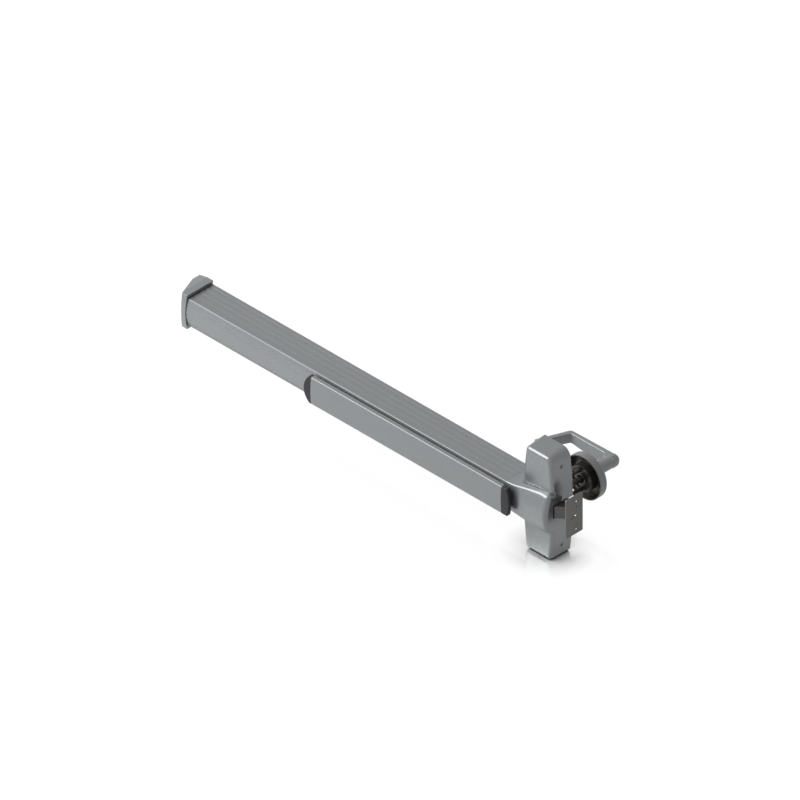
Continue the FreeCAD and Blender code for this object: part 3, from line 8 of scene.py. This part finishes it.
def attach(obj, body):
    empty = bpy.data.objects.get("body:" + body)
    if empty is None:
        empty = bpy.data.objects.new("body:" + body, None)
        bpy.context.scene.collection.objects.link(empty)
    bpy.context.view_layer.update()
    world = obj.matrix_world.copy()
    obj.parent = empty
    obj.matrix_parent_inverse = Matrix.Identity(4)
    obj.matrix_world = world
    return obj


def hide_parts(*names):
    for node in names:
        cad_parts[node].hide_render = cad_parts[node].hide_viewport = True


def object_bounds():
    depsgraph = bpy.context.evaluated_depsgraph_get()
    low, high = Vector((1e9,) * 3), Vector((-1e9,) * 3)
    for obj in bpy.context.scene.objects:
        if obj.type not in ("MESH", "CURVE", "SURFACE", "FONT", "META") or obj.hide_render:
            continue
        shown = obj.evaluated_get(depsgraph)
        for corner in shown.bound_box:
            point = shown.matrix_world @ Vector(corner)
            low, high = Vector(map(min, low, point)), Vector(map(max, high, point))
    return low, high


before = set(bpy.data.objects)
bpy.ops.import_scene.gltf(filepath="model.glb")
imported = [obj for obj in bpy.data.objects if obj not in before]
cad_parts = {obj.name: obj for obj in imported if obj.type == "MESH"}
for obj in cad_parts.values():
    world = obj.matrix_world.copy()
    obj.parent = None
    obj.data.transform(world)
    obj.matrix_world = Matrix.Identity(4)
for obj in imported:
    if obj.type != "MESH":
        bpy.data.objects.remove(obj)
cad_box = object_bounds()

# Exit device: finishes, lever, floor, light and camera. Metres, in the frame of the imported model.


# Shader building blocks

NODE_STEP = 190


def srgb(red, green, blue):
    """A colour given as it looks on screen, 0 to 255, as linear numbers."""
    def linear(value):
        value /= 255.0
        return value / 12.92 if value <= 0.04045 else ((value + 0.055) / 1.055) ** 2.4
    return (linear(red), linear(green), linear(blue), 1.0)


class Nodes:
    """A node tree with short calls for adding and joining nodes."""

    def __init__(self, tree):
        self.tree = tree
        self.column = 0

    def add(self, kind, **settings):
        """A new node with its settings, to the right of the last one."""
        node = self.tree.nodes.new(kind)
        node.location = (self.column, 0)
        self.column += NODE_STEP
        for name, value in settings.items():
            setattr(node, name, value)
        return node

    def feed(self, socket, value):
        """Joins a socket to an output, or sets it to a plain value."""
        if isinstance(value, bpy.types.NodeSocket):
            self.tree.links.new(value, socket)
        else:
            socket.default_value = value

    def set(self, node, **values):
        """Feeds several inputs by name, with _ for a space."""
        for name, value in values.items():
            self.feed(node.inputs[name.replace("_", " ")], value)
        return node

    def math(self, operation, first, second, clamp=False):
        node = self.add("ShaderNodeMath", operation=operation, use_clamp=clamp)
        self.feed(node.inputs[0], first)
        self.feed(node.inputs[1], second)
        return node.outputs[0]

    def span(self, value, low, high, to_low=0.0, to_high=1.0):
        """A value from low to high as one from to_low to to_high, held at both ends."""
        node = self.add("ShaderNodeMapRange", clamp=True)
        self.feed(node.inputs["Value"], value)
        self.feed(node.inputs["From Min"], low)
        self.feed(node.inputs["From Max"], high)
        self.feed(node.inputs["To Min"], to_low)
        self.feed(node.inputs["To Max"], to_high)
        return node.outputs["Result"]

    def blend(self, factor, first, second):
        node = self.add("ShaderNodeMix", data_type="RGBA")
        self.feed(node.inputs["Factor"], factor)
        self.feed(node.inputs["A"], first)
        self.feed(node.inputs["B"], second)
        return node.outputs["Result"]

    def noise(self, vector, scale, detail=2.0, roughness=0.5):
        node = self.add("ShaderNodeTexNoise")
        self.feed(node.inputs["Vector"], vector)
        self.feed(node.inputs["Scale"], scale)
        node.inputs["Detail"].default_value = detail
        node.inputs["Roughness"].default_value = roughness
        return node.outputs["Fac"]


def new_group(name, inputs, outputs):
    """An empty shader group with named float or vector sockets, and its ends."""
    tree = bpy.data.node_groups.new(name, "ShaderNodeTree")
    for label, value in inputs.items():
        kind = "NodeSocketVector" if isinstance(value, tuple) else "NodeSocketFloat"
        socket = tree.interface.new_socket(label, in_out="INPUT", socket_type=kind)
        socket.default_value = value
    for label, kind in outputs.items():
        tree.interface.new_socket(label, in_out="OUTPUT", socket_type=kind)
    nodes = Nodes(tree)
    start = nodes.add("NodeGroupInput")
    end = tree.nodes.new("NodeGroupOutput")
    end.location = (14 * NODE_STEP, 0)
    return tree, nodes, start, end


def build_drawn_lines():
    """Fine lines along one axis, as an extrusion die or a satin belt leaves them."""
    tree, n, start, end = new_group(
        "drawn_lines", {"Stretch": (1.0, 1.0, 1.0), "Scale": 600.0, "Contrast": 0.5},
        {"Height": "NodeSocketFloat", "Tone": "NodeSocketFloat"})
    place = n.add("ShaderNodeTexCoord").outputs["Object"]
    squeezed = n.add("ShaderNodeVectorMath", operation="MULTIPLY")
    n.feed(squeezed.inputs[0], place)
    n.feed(squeezed.inputs[1], start.outputs["Stretch"])
    fine = n.noise(squeezed.outputs[0], start.outputs["Scale"], 3.0, 0.65)
    broad_scale = n.math("MULTIPLY", start.outputs["Scale"], 0.16)
    broad = n.noise(squeezed.outputs[0], broad_scale, 2.0)
    mixed = n.math("ADD", n.math("MULTIPLY", fine, 0.6), n.math("MULTIPLY", broad, 0.4))
    centred = n.math("SUBTRACT", mixed, 0.5)
    tone = n.math("ADD", n.math("MULTIPLY", centred, start.outputs["Contrast"]), 0.5, True)
    n.feed(end.inputs["Height"], fine)
    n.feed(end.inputs["Tone"], tone)
    return tree


def build_fine_grain():
    """Even grain of a sprayed, cast or moulded surface, with slow unevenness."""
    tree, n, start, end = new_group(
        "fine_grain", {"Scale": 1800.0, "Unevenness": 0.2},
        {"Height": "NodeSocketFloat", "Tone": "NodeSocketFloat"})
    place = n.add("ShaderNodeTexCoord").outputs["Object"]
    grain = n.noise(place, start.outputs["Scale"], 3.0, 0.6)
    slow_scale = n.math("MULTIPLY", start.outputs["Scale"], 0.02)
    slow = n.noise(place, slow_scale, 3.0)
    swing = n.math("MULTIPLY", n.math("SUBTRACT", slow, 0.5), start.outputs["Unevenness"])
    speck = n.math("MULTIPLY", n.math("SUBTRACT", grain, 0.5), 0.25)
    tone = n.math("ADD", n.math("ADD", swing, speck), 0.5, True)
    n.feed(end.inputs["Height"], grain)
    n.feed(end.inputs["Tone"], tone)
    return tree


def build_soft_edges():
    """Rounds the shading over sharp edges, and marks them."""
    tree, n, start, end = new_group(
        "soft_edges", {"Radius": 0.0008, "Wear": 0.5},
        {"Normal": "NodeSocketVector", "Edge": "NodeSocketFloat"})
    rounded = n.add("ShaderNodeBevel", samples=6)
    n.feed(rounded.inputs["Radius"], start.outputs["Radius"])
    flat = n.add("ShaderNodeNewGeometry").outputs["Normal"]
    facing = n.add("ShaderNodeVectorMath", operation="DOT_PRODUCT")
    n.feed(facing.inputs[0], rounded.outputs["Normal"])
    n.feed(facing.inputs[1], flat)
    turned = n.math("SUBTRACT", 1.0, facing.outputs["Value"], True)
    place = n.add("ShaderNodeTexCoord").outputs["Object"]
    patchy = n.span(n.noise(place, 90.0, 4.0), 0.35, 0.65)
    edge = n.math("MULTIPLY", n.span(turned, 0.02, 0.2), patchy)
    n.feed(end.inputs["Normal"], rounded.outputs["Normal"])
    n.feed(end.inputs["Edge"], n.math("MULTIPLY", edge, start.outputs["Wear"], True))
    return tree


def build_painted_shade(name, own):
    """Painted shade: darkens the colour in seams, slots and holes, where little light gets in. own counts
    the piece's own walls alone.
    """
    tree, n, start, end = new_group(
        name, {"Reach": 0.006, "Depth": 0.6, "Closed": 0.12, "Open": 0.5}, {"Mask": "NodeSocketFloat"})
    around = n.add("ShaderNodeAmbientOcclusion", samples=4, only_local=own)
    n.feed(around.inputs["Distance"], start.outputs["Reach"])
    # Painted shade: the less open a place is, the darker its colour is made.
    recess_shade = n.span(around.outputs["AO"], start.outputs["Closed"], start.outputs["Open"], 1.0, 0.0)
    n.feed(end.inputs["Mask"], n.math("MULTIPLY", recess_shade, start.outputs["Depth"], True))
    return tree


DRAWN_LINES = build_drawn_lines()
FINE_GRAIN = build_fine_grain()
SOFT_EDGES = build_soft_edges()
# Painted shade in seams, slots and holes, seen from all pieces or from the piece's own walls alone.
PAINTED_SHADE = build_painted_shade("painted_recess_shade", False)
OWN_PAINTED_SHADE = build_painted_shade("own_painted_recess_shade", True)


def use_group(n, tree, **values):
    node = n.add("ShaderNodeGroup", node_tree=tree)
    return n.set(node, **values)


# Colour of the painted shade in seams, slots and holes.
PAINTED_SEAM_SHADE = srgb(30, 30, 30)


def own_place(n):
    """X, Y and Z outputs of the place on a piece, in its own axes."""
    parts = n.add("ShaderNodeSeparateXYZ")
    n.feed(parts.inputs[0], n.add("ShaderNodeTexCoord").outputs["Object"])
    return parts.outputs


def cup_mask(n, radius, depth):
    """1 inside a round cup about the piece's own Y axis, in front of a depth."""
    place = own_place(n)
    across = n.math("ADD", n.math("POWER", place["X"], 2.0), n.math("POWER", place["Z"], 2.0))
    within = n.math("LESS_THAN", across, radius ** 2)
    return n.math("MULTIPLY", within, n.math("LESS_THAN", place["Y"], depth))


COVER_EDGE = 0.0004
JUNCTION_EDGE = 0.009
JUNCTION_FRONT = -0.055
JUNCTION_LOW = 0.015
JUNCTION_HIGH = 0.040


def swoop_radius(n):
    """Edge radius of the cover: wide where the bulge meets the head's front, fine elsewhere."""
    place = own_place(n)
    behind = n.math("GREATER_THAN", place["Y"], JUNCTION_FRONT)
    below = n.math("LESS_THAN", place["Z"], JUNCTION_HIGH)
    above = n.math("GREATER_THAN", place["Z"], JUNCTION_LOW)
    junction = n.math("MULTIPLY", behind, n.math("MULTIPLY", below, above))
    return n.span(junction, 0.0, 1.0, COVER_EDGE, JUNCTION_EDGE)


WORN_BRIGHTER = 1.35
ROUGHNESS_SWING = 0.05


def scaled(colour, share):
    """A colour made lighter or darker, with its alpha left at 1."""
    return tuple(min(1.0, channel * share) for channel in colour[:3]) + (1.0,)


def finish(name, colour, tone, roughness, metallic, surface, bump, edge_radius=0.0006, wear=0.25,
           specular=0.5, recess_shade_group=(PAINTED_SHADE, dict(Reach=0.005)), inside=None):
    """A finish: a colour that varies by tone, a surface group for its texture, soft edges, and painted
    shade in seams, slots and holes.

    surface is (group, its values), and bump is (height in metres, strength). The group that paints shade
    into the colour in seams, slots and holes is given with its values. edge_radius is metres, or a
    function that gives the socket. inside is (radius, depth, colour) of a cup about the piece's own Y axis.
    """
    material = bpy.data.materials.new(name)
    material.use_nodes = True
    material.node_tree.nodes.clear()
    n = Nodes(material.node_tree)
    group, values = surface
    texture = use_group(n, group, **values)
    radius = edge_radius(n) if callable(edge_radius) else edge_radius
    edges = use_group(n, SOFT_EDGES, Radius=radius, Wear=wear)
    toned = n.blend(texture.outputs["Tone"], scaled(colour, 1.0 - tone), scaled(colour, 1.0 + tone))
    shown = n.blend(edges.outputs["Edge"], toned, scaled(colour, WORN_BRIGHTER))
    if inside:
        shown = n.blend(cup_mask(n, inside[0], inside[1]), shown, inside[2])
    # Painted shade: seams, slots and holes, where little light gets in, turn dark in the colour.
    recess_shade = use_group(n, recess_shade_group[0], **recess_shade_group[1])
    colour_out = n.blend(recess_shade.outputs["Mask"], shown, PAINTED_SEAM_SHADE)
    rough = n.span(texture.outputs["Tone"], 0.2, 0.8, roughness + ROUGHNESS_SWING,
                   roughness - ROUGHNESS_SWING)
    relief = n.add("ShaderNodeBump")
    n.set(relief, Strength=bump[1], Distance=bump[0], Height=texture.outputs["Height"],
          Normal=edges.outputs["Normal"])
    shader = n.add("ShaderNodeBsdfPrincipled")
    n.set(shader, Base_Color=colour_out, Roughness=rough, Metallic=metallic,
          Normal=relief.outputs["Normal"], Specular_IOR_Level=specular)
    output = n.add("ShaderNodeOutputMaterial")
    n.feed(output.inputs["Surface"], shader.outputs["BSDF"])
    return material


ALONG_BAR = (0.012, 1.0, 1.0)
ALONG_DEPTH = (1.0, 0.02, 1.0)
ALONG_LEVER = (0.05, 0.6, 1.0)
ROSE_CUP_RADIUS = 0.0429
ROSE_CUP_BACK = 0.0792


def drawn(contrast, stretch=ALONG_BAR, scale=900.0):
    """Drawn lines along a direction, with their contrast."""
    return DRAWN_LINES, dict(Stretch=stretch, Scale=scale, Contrast=contrast)


def grained(scale, unevenness):
    """Fine grain of a size, with its slow unevenness."""
    return FINE_GRAIN, dict(Scale=scale, Unevenness=unevenness)


anodised = finish(
    "anodised_rail", srgb(136, 139, 141), tone=0.06, roughness=0.46, metallic=0.3,
    surface=drawn(0.9), bump=(0.00004, 0.2), edge_radius=0.0009,
    recess_shade_group=(PAINTED_SHADE, dict(Reach=0.014, Depth=0.85, Closed=0.3, Open=0.58)))
satin_pad = finish(
    "anodised_pad", srgb(135, 138, 140), tone=0.05, roughness=0.4, metallic=0.3,
    surface=drawn(0.6), bump=(0.00004, 0.12), edge_radius=0.0012,
    recess_shade_group=(PAINTED_SHADE, dict(Reach=0.010, Depth=0.85, Closed=0.3, Open=0.5)))
satin_filler = finish(
    "anodised_filler", srgb(142, 145, 147), tone=0.06, roughness=0.4, metallic=0.3,
    surface=drawn(0.7), bump=(0.00004, 0.15), edge_radius=0.0004, wear=0.0)
silver_paint = finish(
    "silver_painted_casting", srgb(130, 134, 136), tone=0.05, roughness=0.27, metallic=0.28,
    surface=grained(1500.0, 0.25), bump=(0.00003, 0.1), edge_radius=swoop_radius, wear=0.0,
    specular=0.9, recess_shade_group=(OWN_PAINTED_SHADE, dict(Reach=0.004, Depth=0.8)))
end_paint = finish(
    "silver_painted_end", srgb(134, 138, 140), tone=0.05, roughness=0.25, metallic=0.28,
    surface=grained(1500.0, 0.25), bump=(0.00003, 0.15), edge_radius=0.0015, wear=0.0,
    specular=0.8, recess_shade_group=(OWN_PAINTED_SHADE, dict(Reach=0.002, Depth=0.3)))
charcoal = finish(
    "charcoal_plastic", srgb(54, 55, 57), tone=0.08, roughness=0.5, metallic=0.0,
    surface=grained(2200.0, 0.2), bump=(0.00004, 0.3), edge_radius=0.001, wear=0.2, specular=0.2)
zinc_plate = finish(
    "zinc_plated_steel", srgb(126, 127, 126), tone=0.14, roughness=0.38, metallic=0.8,
    surface=grained(500.0, 0.5), bump=(0.00003, 0.2))
turned_steel = finish(
    "bright_turned_steel", srgb(150, 150, 150), tone=0.10, roughness=0.28, metallic=0.95,
    surface=drawn(0.8, ALONG_DEPTH), bump=(0.00003, 0.2))
spring_wire = finish(
    "spring_wire", srgb(84, 84, 86), tone=0.10, roughness=0.3, metallic=0.9,
    surface=grained(1500.0, 0.3), bump=(0.00003, 0.2))
latch_steel = finish(
    "latch_steel", srgb(92, 91, 89), tone=0.12, roughness=0.4, metallic=0.4,
    surface=grained(900.0, 0.4), bump=(0.00004, 0.3))
strike_steel = finish(
    "strike_steel", srgb(113, 112, 110), tone=0.06, roughness=0.5, metallic=0.2,
    surface=grained(1200.0, 0.2), bump=(0.00003, 0.15), edge_radius=0.0003, wear=0.0)
satin_chrome = finish(
    "satin_chrome", srgb(143, 146, 148), tone=0.07, roughness=0.38, metallic=0.25,
    surface=drawn(0.7, ALONG_LEVER, 800.0), bump=(0.00003, 0.2), edge_radius=0.001)
rose_steel = finish(
    "rose_satin_chrome", srgb(132, 134, 136), tone=0.07, roughness=0.42, metallic=0.25,
    surface=grained(900.0, 0.3), bump=(0.00003, 0.2), edge_radius=0.0008,
    inside=(ROSE_CUP_RADIUS, ROSE_CUP_BACK, srgb(98, 91, 82)),
    recess_shade_group=(OWN_PAINTED_SHADE, dict(Reach=0.003, Depth=0.3)))
screw_steel = finish(
    "screw_steel", srgb(96, 96, 95), tone=0.10, roughness=0.36, metallic=0.5,
    surface=grained(900.0, 0.3), bump=(0.00003, 0.2), recess_shade_group=(PAINTED_SHADE, dict(Reach=0.003, Depth=0.9)))
black_casting = finish(
    "black_casting", srgb(72, 70, 66), tone=0.15, roughness=0.32, metallic=0.5,
    surface=grained(900.0, 0.5), bump=(0.00005, 0.35), wear=0.5)
pale_nylon = finish(
    "pale_nylon", srgb(205, 203, 195), tone=0.04, roughness=0.45, metallic=0.0,
    surface=grained(900.0, 0.3), bump=(0.00003, 0.2))

FINISHES = {
    anodised: ["rail"],
    satin_pad: ["push_pad"],
    satin_filler: ["rail_filler"],
    silver_paint: ["head_cover"],
    end_paint: ["end_cap"],
    charcoal: ["pad_end_cap_left", "pad_end_cap_right"],
    zinc_plate: ["head_chassis", "rail_tongue", "latch_guide", "end_bracket", "crank_bracket_left",
                 "crank_bracket_right", "pad_carrier_left", "pad_carrier_right", "bell_crank_left",
                 "bell_crank_right", "actuator_rod", "pull_fork", "latch_stem", "stem_collar"],
    turned_steel: ["crank_pivot_left", "crank_pivot_right", "pad_pin_left", "pad_pin_right", "rod_pin_left",
                   "rod_pin_right"],
    screw_steel: ["cover_screws", "end_cap_screws"],
    spring_wire: ["rod_spring", "latch_spring"],
    latch_steel: ["latch_bolt"],
    strike_steel: ["strike"],
    satin_chrome: ["lever"],
    rose_steel: ["rose"],
    black_casting: ["trim_housing", "trim_post_upper", "trim_post_lower", "through_bolt_upper",
                    "through_bolt_lower", "spindle", "trim_cam"],
    pale_nylon: ["rod_guide_left", "rod_guide_right"],
}

for material, names in FINISHES.items():
    for name in names:
        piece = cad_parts[name]
        if not piece.material_slots:
            piece.data.materials.append(None)
        for held in piece.material_slots:
            held.link = "OBJECT"
            held.material = material


# Lever: the blade deepens towards the hub in one sweep. Millimetres here, turned to metres in the mesh.

HUB_RADIUS = 12.3
HUB_START = 81.0
LEVER_OUTER = 148.6
LEVER_TOP = 11.8
SLEEVE_RADIUS = 8.0
SLEEVE_START = 68.0
HUB_ELBOW = 9.8
HUB_SINK = 0.6
ELBOW_STEPS = 8
LONGEST_RUN = 6.0
CREASE = math.radians(40)
MILLIMETRE = 0.001
LEVER_INNER = 132.0
LEVER_TIP = -131.5

# Lower edge of the blade, as x and height
UNDERSIDE = [(LEVER_TIP, -6.2), (-99.5, -9.4), (-70.0, -13.2), (-48.0, -14.8), (-28.0, -14.8),
             (-10.0, -12.6), (HUB_RADIUS, -12.0)]
# The blade from above, as x, y, corner radius and edge radius
BLADE_CORNERS = [(HUB_RADIUS, 128.0, 0.0, 10.0), (HUB_RADIUS, LEVER_OUTER, 10.0, 10.0),
                 (-106.5, 142.5, 9.0, 5.6), (LEVER_TIP, 75.7, 0.0, 3.6), (-122.0, 72.7, 0.0, 2.0),
                 (-97.0, LEVER_INNER, 4.5, 2.4), (-15.0, LEVER_INNER, 5.0, 2.4), (-8.0, 124.0, 0.0, 2.4)]


def underside(x):
    """Height of the blade's lower edge at a place along it."""
    for (x0, low0), (x1, low1) in zip(UNDERSIDE, UNDERSIDE[1:]):
        if x <= x1:
            share = min(1.0, max(0.0, (x - x0) / (x1 - x0)))
            return low0 + (low1 - low0) * share
    return UNDERSIDE[-1][1]


def rounded_outline(corners, steps=6):
    """Points of a closed outline whose corners carry (x, y, corner radius, edge radius)."""
    points = []
    for index, (x, y, radius, edge) in enumerate(corners):
        here = Vector((x, y))
        before = Vector(corners[index - 1][:2])
        after = Vector(corners[(index + 1) % len(corners)][:2])
        back = (before - here).normalized()
        ahead = (after - here).normalized()
        if radius == 0.0:
            points.append((here, edge))
            continue
        half = back.angle(ahead) / 2
        reach = radius / math.tan(half)
        centre = here + (back + ahead).normalized() * radius / math.sin(half)
        start = here + back * reach - centre
        sweep = start.angle_signed(here + ahead * reach - centre)
        for step in range(steps + 1):
            turned = Matrix.Rotation(-sweep * step / steps, 2) @ start
            points.append((centre + turned, edge))
    return points


def divided(points, longest):
    """The outline with its long runs divided, so that heights can follow a curve."""
    result = []
    for (here, edge), (after, next_edge) in zip(points, points[1:] + points[:1]):
        parts = max(1, math.ceil((after - here).length / longest))
        for part in range(parts):
            share = part / parts
            result.append((here.lerp(after, share), edge + (next_edge - edge) * share))
    return result


def add_blade(shape, points, steps=6):
    """Blade between its underside and its top, both edges rounded by each point's own radius."""
    count = len(points)
    normals = []
    for index in range(count):
        along = (points[(index + 1) % count][0] - points[index - 1][0]).normalized()
        normals.append(Vector((-along.y, along.x)))
    levels = [(-1, step / steps) for step in range(steps + 1)]
    levels += [(1, 1 - step / steps) for step in range(steps + 1)]
    rings = []
    for side, share in levels:
        turn = share * math.pi / 2
        ring = []
        for (place, edge), normal in zip(points, normals):
            flat = place + normal * edge * (1 - math.sin(turn))
            rise = edge * (1 - math.cos(turn))
            height = LEVER_TOP - rise if side == 1 else underside(place.x) + rise
            ring.append(shape.verts.new((flat.x, flat.y, height)))
        rings.append(ring)
    for lower, upper in zip(rings, rings[1:]):
        for index in range(count):
            after = (index + 1) % count
            shape.faces.new((lower[index], lower[after], upper[after], upper[index]))
    shape.faces.new(list(reversed(rings[0])))
    shape.faces.new(rings[-1])


def add_turned(shape, profile, steps=48):
    """A solid turned about the Y axis from (radius, y) points, closed at both ends."""
    rings = []
    for radius, y in profile:
        angles = [2 * math.pi * step / steps for step in range(steps)]
        rings.append([shape.verts.new((radius * math.cos(a), y, radius * math.sin(a))) for a in angles])
    for lower, upper in zip(rings, rings[1:]):
        for index in range(steps):
            after = (index + 1) % steps
            shape.faces.new((lower[index], upper[index], upper[after], lower[after]))
    shape.faces.new(rings[0])
    shape.faces.new(list(reversed(rings[-1])))


def make_lever():
    """The lever's blade, hub and sleeve, in place of the plainer solid."""
    shape = bmesh.new()
    add_blade(shape, divided(rounded_outline(BLADE_CORNERS), LONGEST_RUN))
    profile = [(SLEEVE_RADIUS, SLEEVE_START), (SLEEVE_RADIUS, HUB_START), (HUB_RADIUS, HUB_START)]
    for step in range(ELBOW_STEPS + 1):
        turn = math.pi / 2 * step / ELBOW_STEPS
        along = LEVER_OUTER - HUB_SINK - HUB_ELBOW + HUB_ELBOW * math.sin(turn)
        profile.append((HUB_RADIUS - HUB_ELBOW + HUB_ELBOW * math.cos(turn), along))
    add_turned(shape, profile)
    bmesh.ops.triangulate(shape, faces=[face for face in shape.faces if len(face.verts) > 4])
    bmesh.ops.recalc_face_normals(shape, faces=shape.faces)
    bmesh.ops.scale(shape, vec=(MILLIMETRE, MILLIMETRE, MILLIMETRE), verts=shape.verts)
    mesh = bpy.data.meshes.new("lever_shape")
    shape.to_mesh(mesh)
    shape.free()
    mesh.shade_smooth()
    mesh.set_sharp_from_angle(angle=CREASE)
    lever = bpy.data.objects.new("lever_blade", mesh)
    bpy.context.scene.collection.objects.link(lever)
    mesh.materials.append(satin_chrome)
    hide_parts("lever")
    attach(lever, "handle")


# Floor, light and camera

FLOOR_GAP = 0.0002
FLOOR_LEVEL = cad_box[0].z - FLOOR_GAP
FLOOR_REACH = 30.0
FLOOR_COLOUR = (0.80, 0.80, 0.80, 1.0)
FLOOR_FADE = 0.88
FLOOR_WHITE = 1.14
FLOOR_GLOSS = 0.12
MIRROR_NEAR = 0.5
MIRROR_FAR = 0.05
# Reach, span and power of the painted shadow on the floor, near by and further out.
CONTACT_REACH = 0.06
CONTACT_SPAN = (0.44, 0.93)
CONTACT_POWER = 0.85
MIRROR_SPAN = (0.5, 0.92)
SHADE_REACH = 0.14
SHADE_SPAN = (0.55, 0.96)
SHADE_DARK = 0.93
AMBIENT = 0.13
WHITE = (1.0, 1.0, 1.0, 1.0)


def seen_directly(n):
    """1 for rays that show a surface to the eye, straight or by a mirror or glass."""
    rays = n.add("ShaderNodeLightPath")
    mirrored = n.math("MAXIMUM", rays.outputs["Is Glossy Ray"], rays.outputs["Is Transmission Ray"])
    return n.math("MAXIMUM", rays.outputs["Is Camera Ray"], mirrored)


def make_floor():
    """White floor with a painted shadow: its glow is dimmed near the object, over a faint real shadow and a
    faint reflection close to it.
    """
    mesh = bpy.data.meshes.new("floor")
    sides = ((-1, -1), (1, -1), (1, 1), (-1, 1))
    corners = [(x * FLOOR_REACH, y * FLOOR_REACH, FLOOR_LEVEL) for x, y in sides]
    mesh.from_pydata(corners, [], [(0, 1, 2, 3)])
    floor = bpy.data.objects.new("floor", mesh)
    bpy.context.scene.collection.objects.link(floor)
    material = bpy.data.materials.new("white_floor")
    material.use_nodes = True
    material.node_tree.nodes.clear()
    n = Nodes(material.node_tree)
    matt = n.set(n.add("ShaderNodeBsdfDiffuse"), Color=FLOOR_COLOUR)
    # Painted shadow: the floor's glow is dimmed where the object shuts it in, near by and further out.
    near = n.set(n.add("ShaderNodeAmbientOcclusion", samples=6), Distance=CONTACT_REACH)
    wide = n.set(n.add("ShaderNodeAmbientOcclusion", samples=6), Distance=SHADE_REACH)
    painted_near_shadow = n.math("POWER", n.span(near.outputs["AO"], *CONTACT_SPAN), CONTACT_POWER)
    shade = n.span(wide.outputs["AO"], *SHADE_SPAN, SHADE_DARK, 1.0)
    glow = n.math("MULTIPLY", n.math("MULTIPLY", painted_near_shadow, shade), FLOOR_WHITE)
    white = n.set(n.add("ShaderNodeEmission"), Color=WHITE, Strength=glow)
    seen = seen_directly(n)
    faded = n.add("ShaderNodeMixShader")
    n.feed(faded.inputs[0], n.math("MULTIPLY", seen, FLOOR_FADE))
    n.feed(faded.inputs[1], matt.outputs[0])
    n.feed(faded.inputs[2], white.outputs[0])
    gloss = n.set(n.add("ShaderNodeBsdfGlossy"), Color=WHITE, Roughness=FLOOR_GLOSS)
    surface = n.add("ShaderNodeMixShader")
    mirror = n.span(near.outputs["AO"], *MIRROR_SPAN, MIRROR_NEAR, MIRROR_FAR)
    n.feed(surface.inputs[0], n.math("MULTIPLY", seen, mirror))
    n.feed(surface.inputs[1], faded.outputs[0])
    n.feed(surface.inputs[2], gloss.outputs[0])
    output = n.add("ShaderNodeOutputMaterial")
    n.feed(output.inputs["Surface"], surface.outputs[0])
    floor.data.materials.append(material)


def make_world():
    """White where it is seen, and a low even light on the object."""
    world = bpy.data.worlds.new("studio")
    bpy.context.scene.world = world
    world.use_nodes = True
    world.node_tree.nodes.clear()
    n = Nodes(world.node_tree)
    strength = n.span(seen_directly(n), 0.0, 1.0, AMBIENT, 1.0)
    glow = n.set(n.add("ShaderNodeBackground"), Color=WHITE, Strength=strength)
    output = n.add("ShaderNodeOutputWorld")
    n.feed(output.inputs["Surface"], glow.outputs[0])


KEY_DIRECTION = Vector((-0.56, -0.55, 0.615))
KEY_AIM = Vector((0.0, -0.03, 0.0))
KEY_DISTANCE = 5.0
KEY_WIDTH = 4.0
KEY_WATTS = 247.0


def make_key_lamp():
    """A broad round lamp high in front and to the left, aimed at the head."""
    data = bpy.data.lights.new("key", "AREA")
    data.shape = "DISK"
    data.size = KEY_WIDTH
    data.energy = KEY_WATTS
    lamp = bpy.data.objects.new("key", data)
    away = KEY_DIRECTION.normalized()
    lamp.location = KEY_AIM + away * KEY_DISTANCE
    lamp.rotation_euler = away.to_track_quat("Z", "Y").to_euler()
    bpy.context.scene.collection.objects.link(lamp)


AZIMUTH = math.radians(44.62)
ELEVATION = math.radians(35.58)
CAMERA_DISTANCE = 5.0
PHOTO_SIZE = 800
PIXELS_PER_METRE = 570.3
LOOK_AT = Vector((-0.2629, -0.1267, 0.1320))


def make_camera():
    """The photograph shows no perspective, so its camera has none."""
    data = bpy.data.cameras.new("camera")
    data.type = "ORTHO"
    data.ortho_scale = PHOTO_SIZE / PIXELS_PER_METRE
    data.clip_end = 10 * CAMERA_DISTANCE
    camera = bpy.data.objects.new("camera", data)
    back = Vector((math.sin(AZIMUTH) * math.cos(ELEVATION), -math.cos(AZIMUTH) * math.cos(ELEVATION),
                   math.sin(ELEVATION)))
    camera.location = LOOK_AT + back * CAMERA_DISTANCE
    camera.rotation_euler = back.to_track_quat("Z", "Y").to_euler()
    bpy.context.scene.collection.objects.link(camera)
    bpy.context.scene.camera = camera


make_lever()
make_floor()
make_world()
make_key_lamp()
make_camera()
bpy.context.scene.view_settings.view_transform = "Standard"
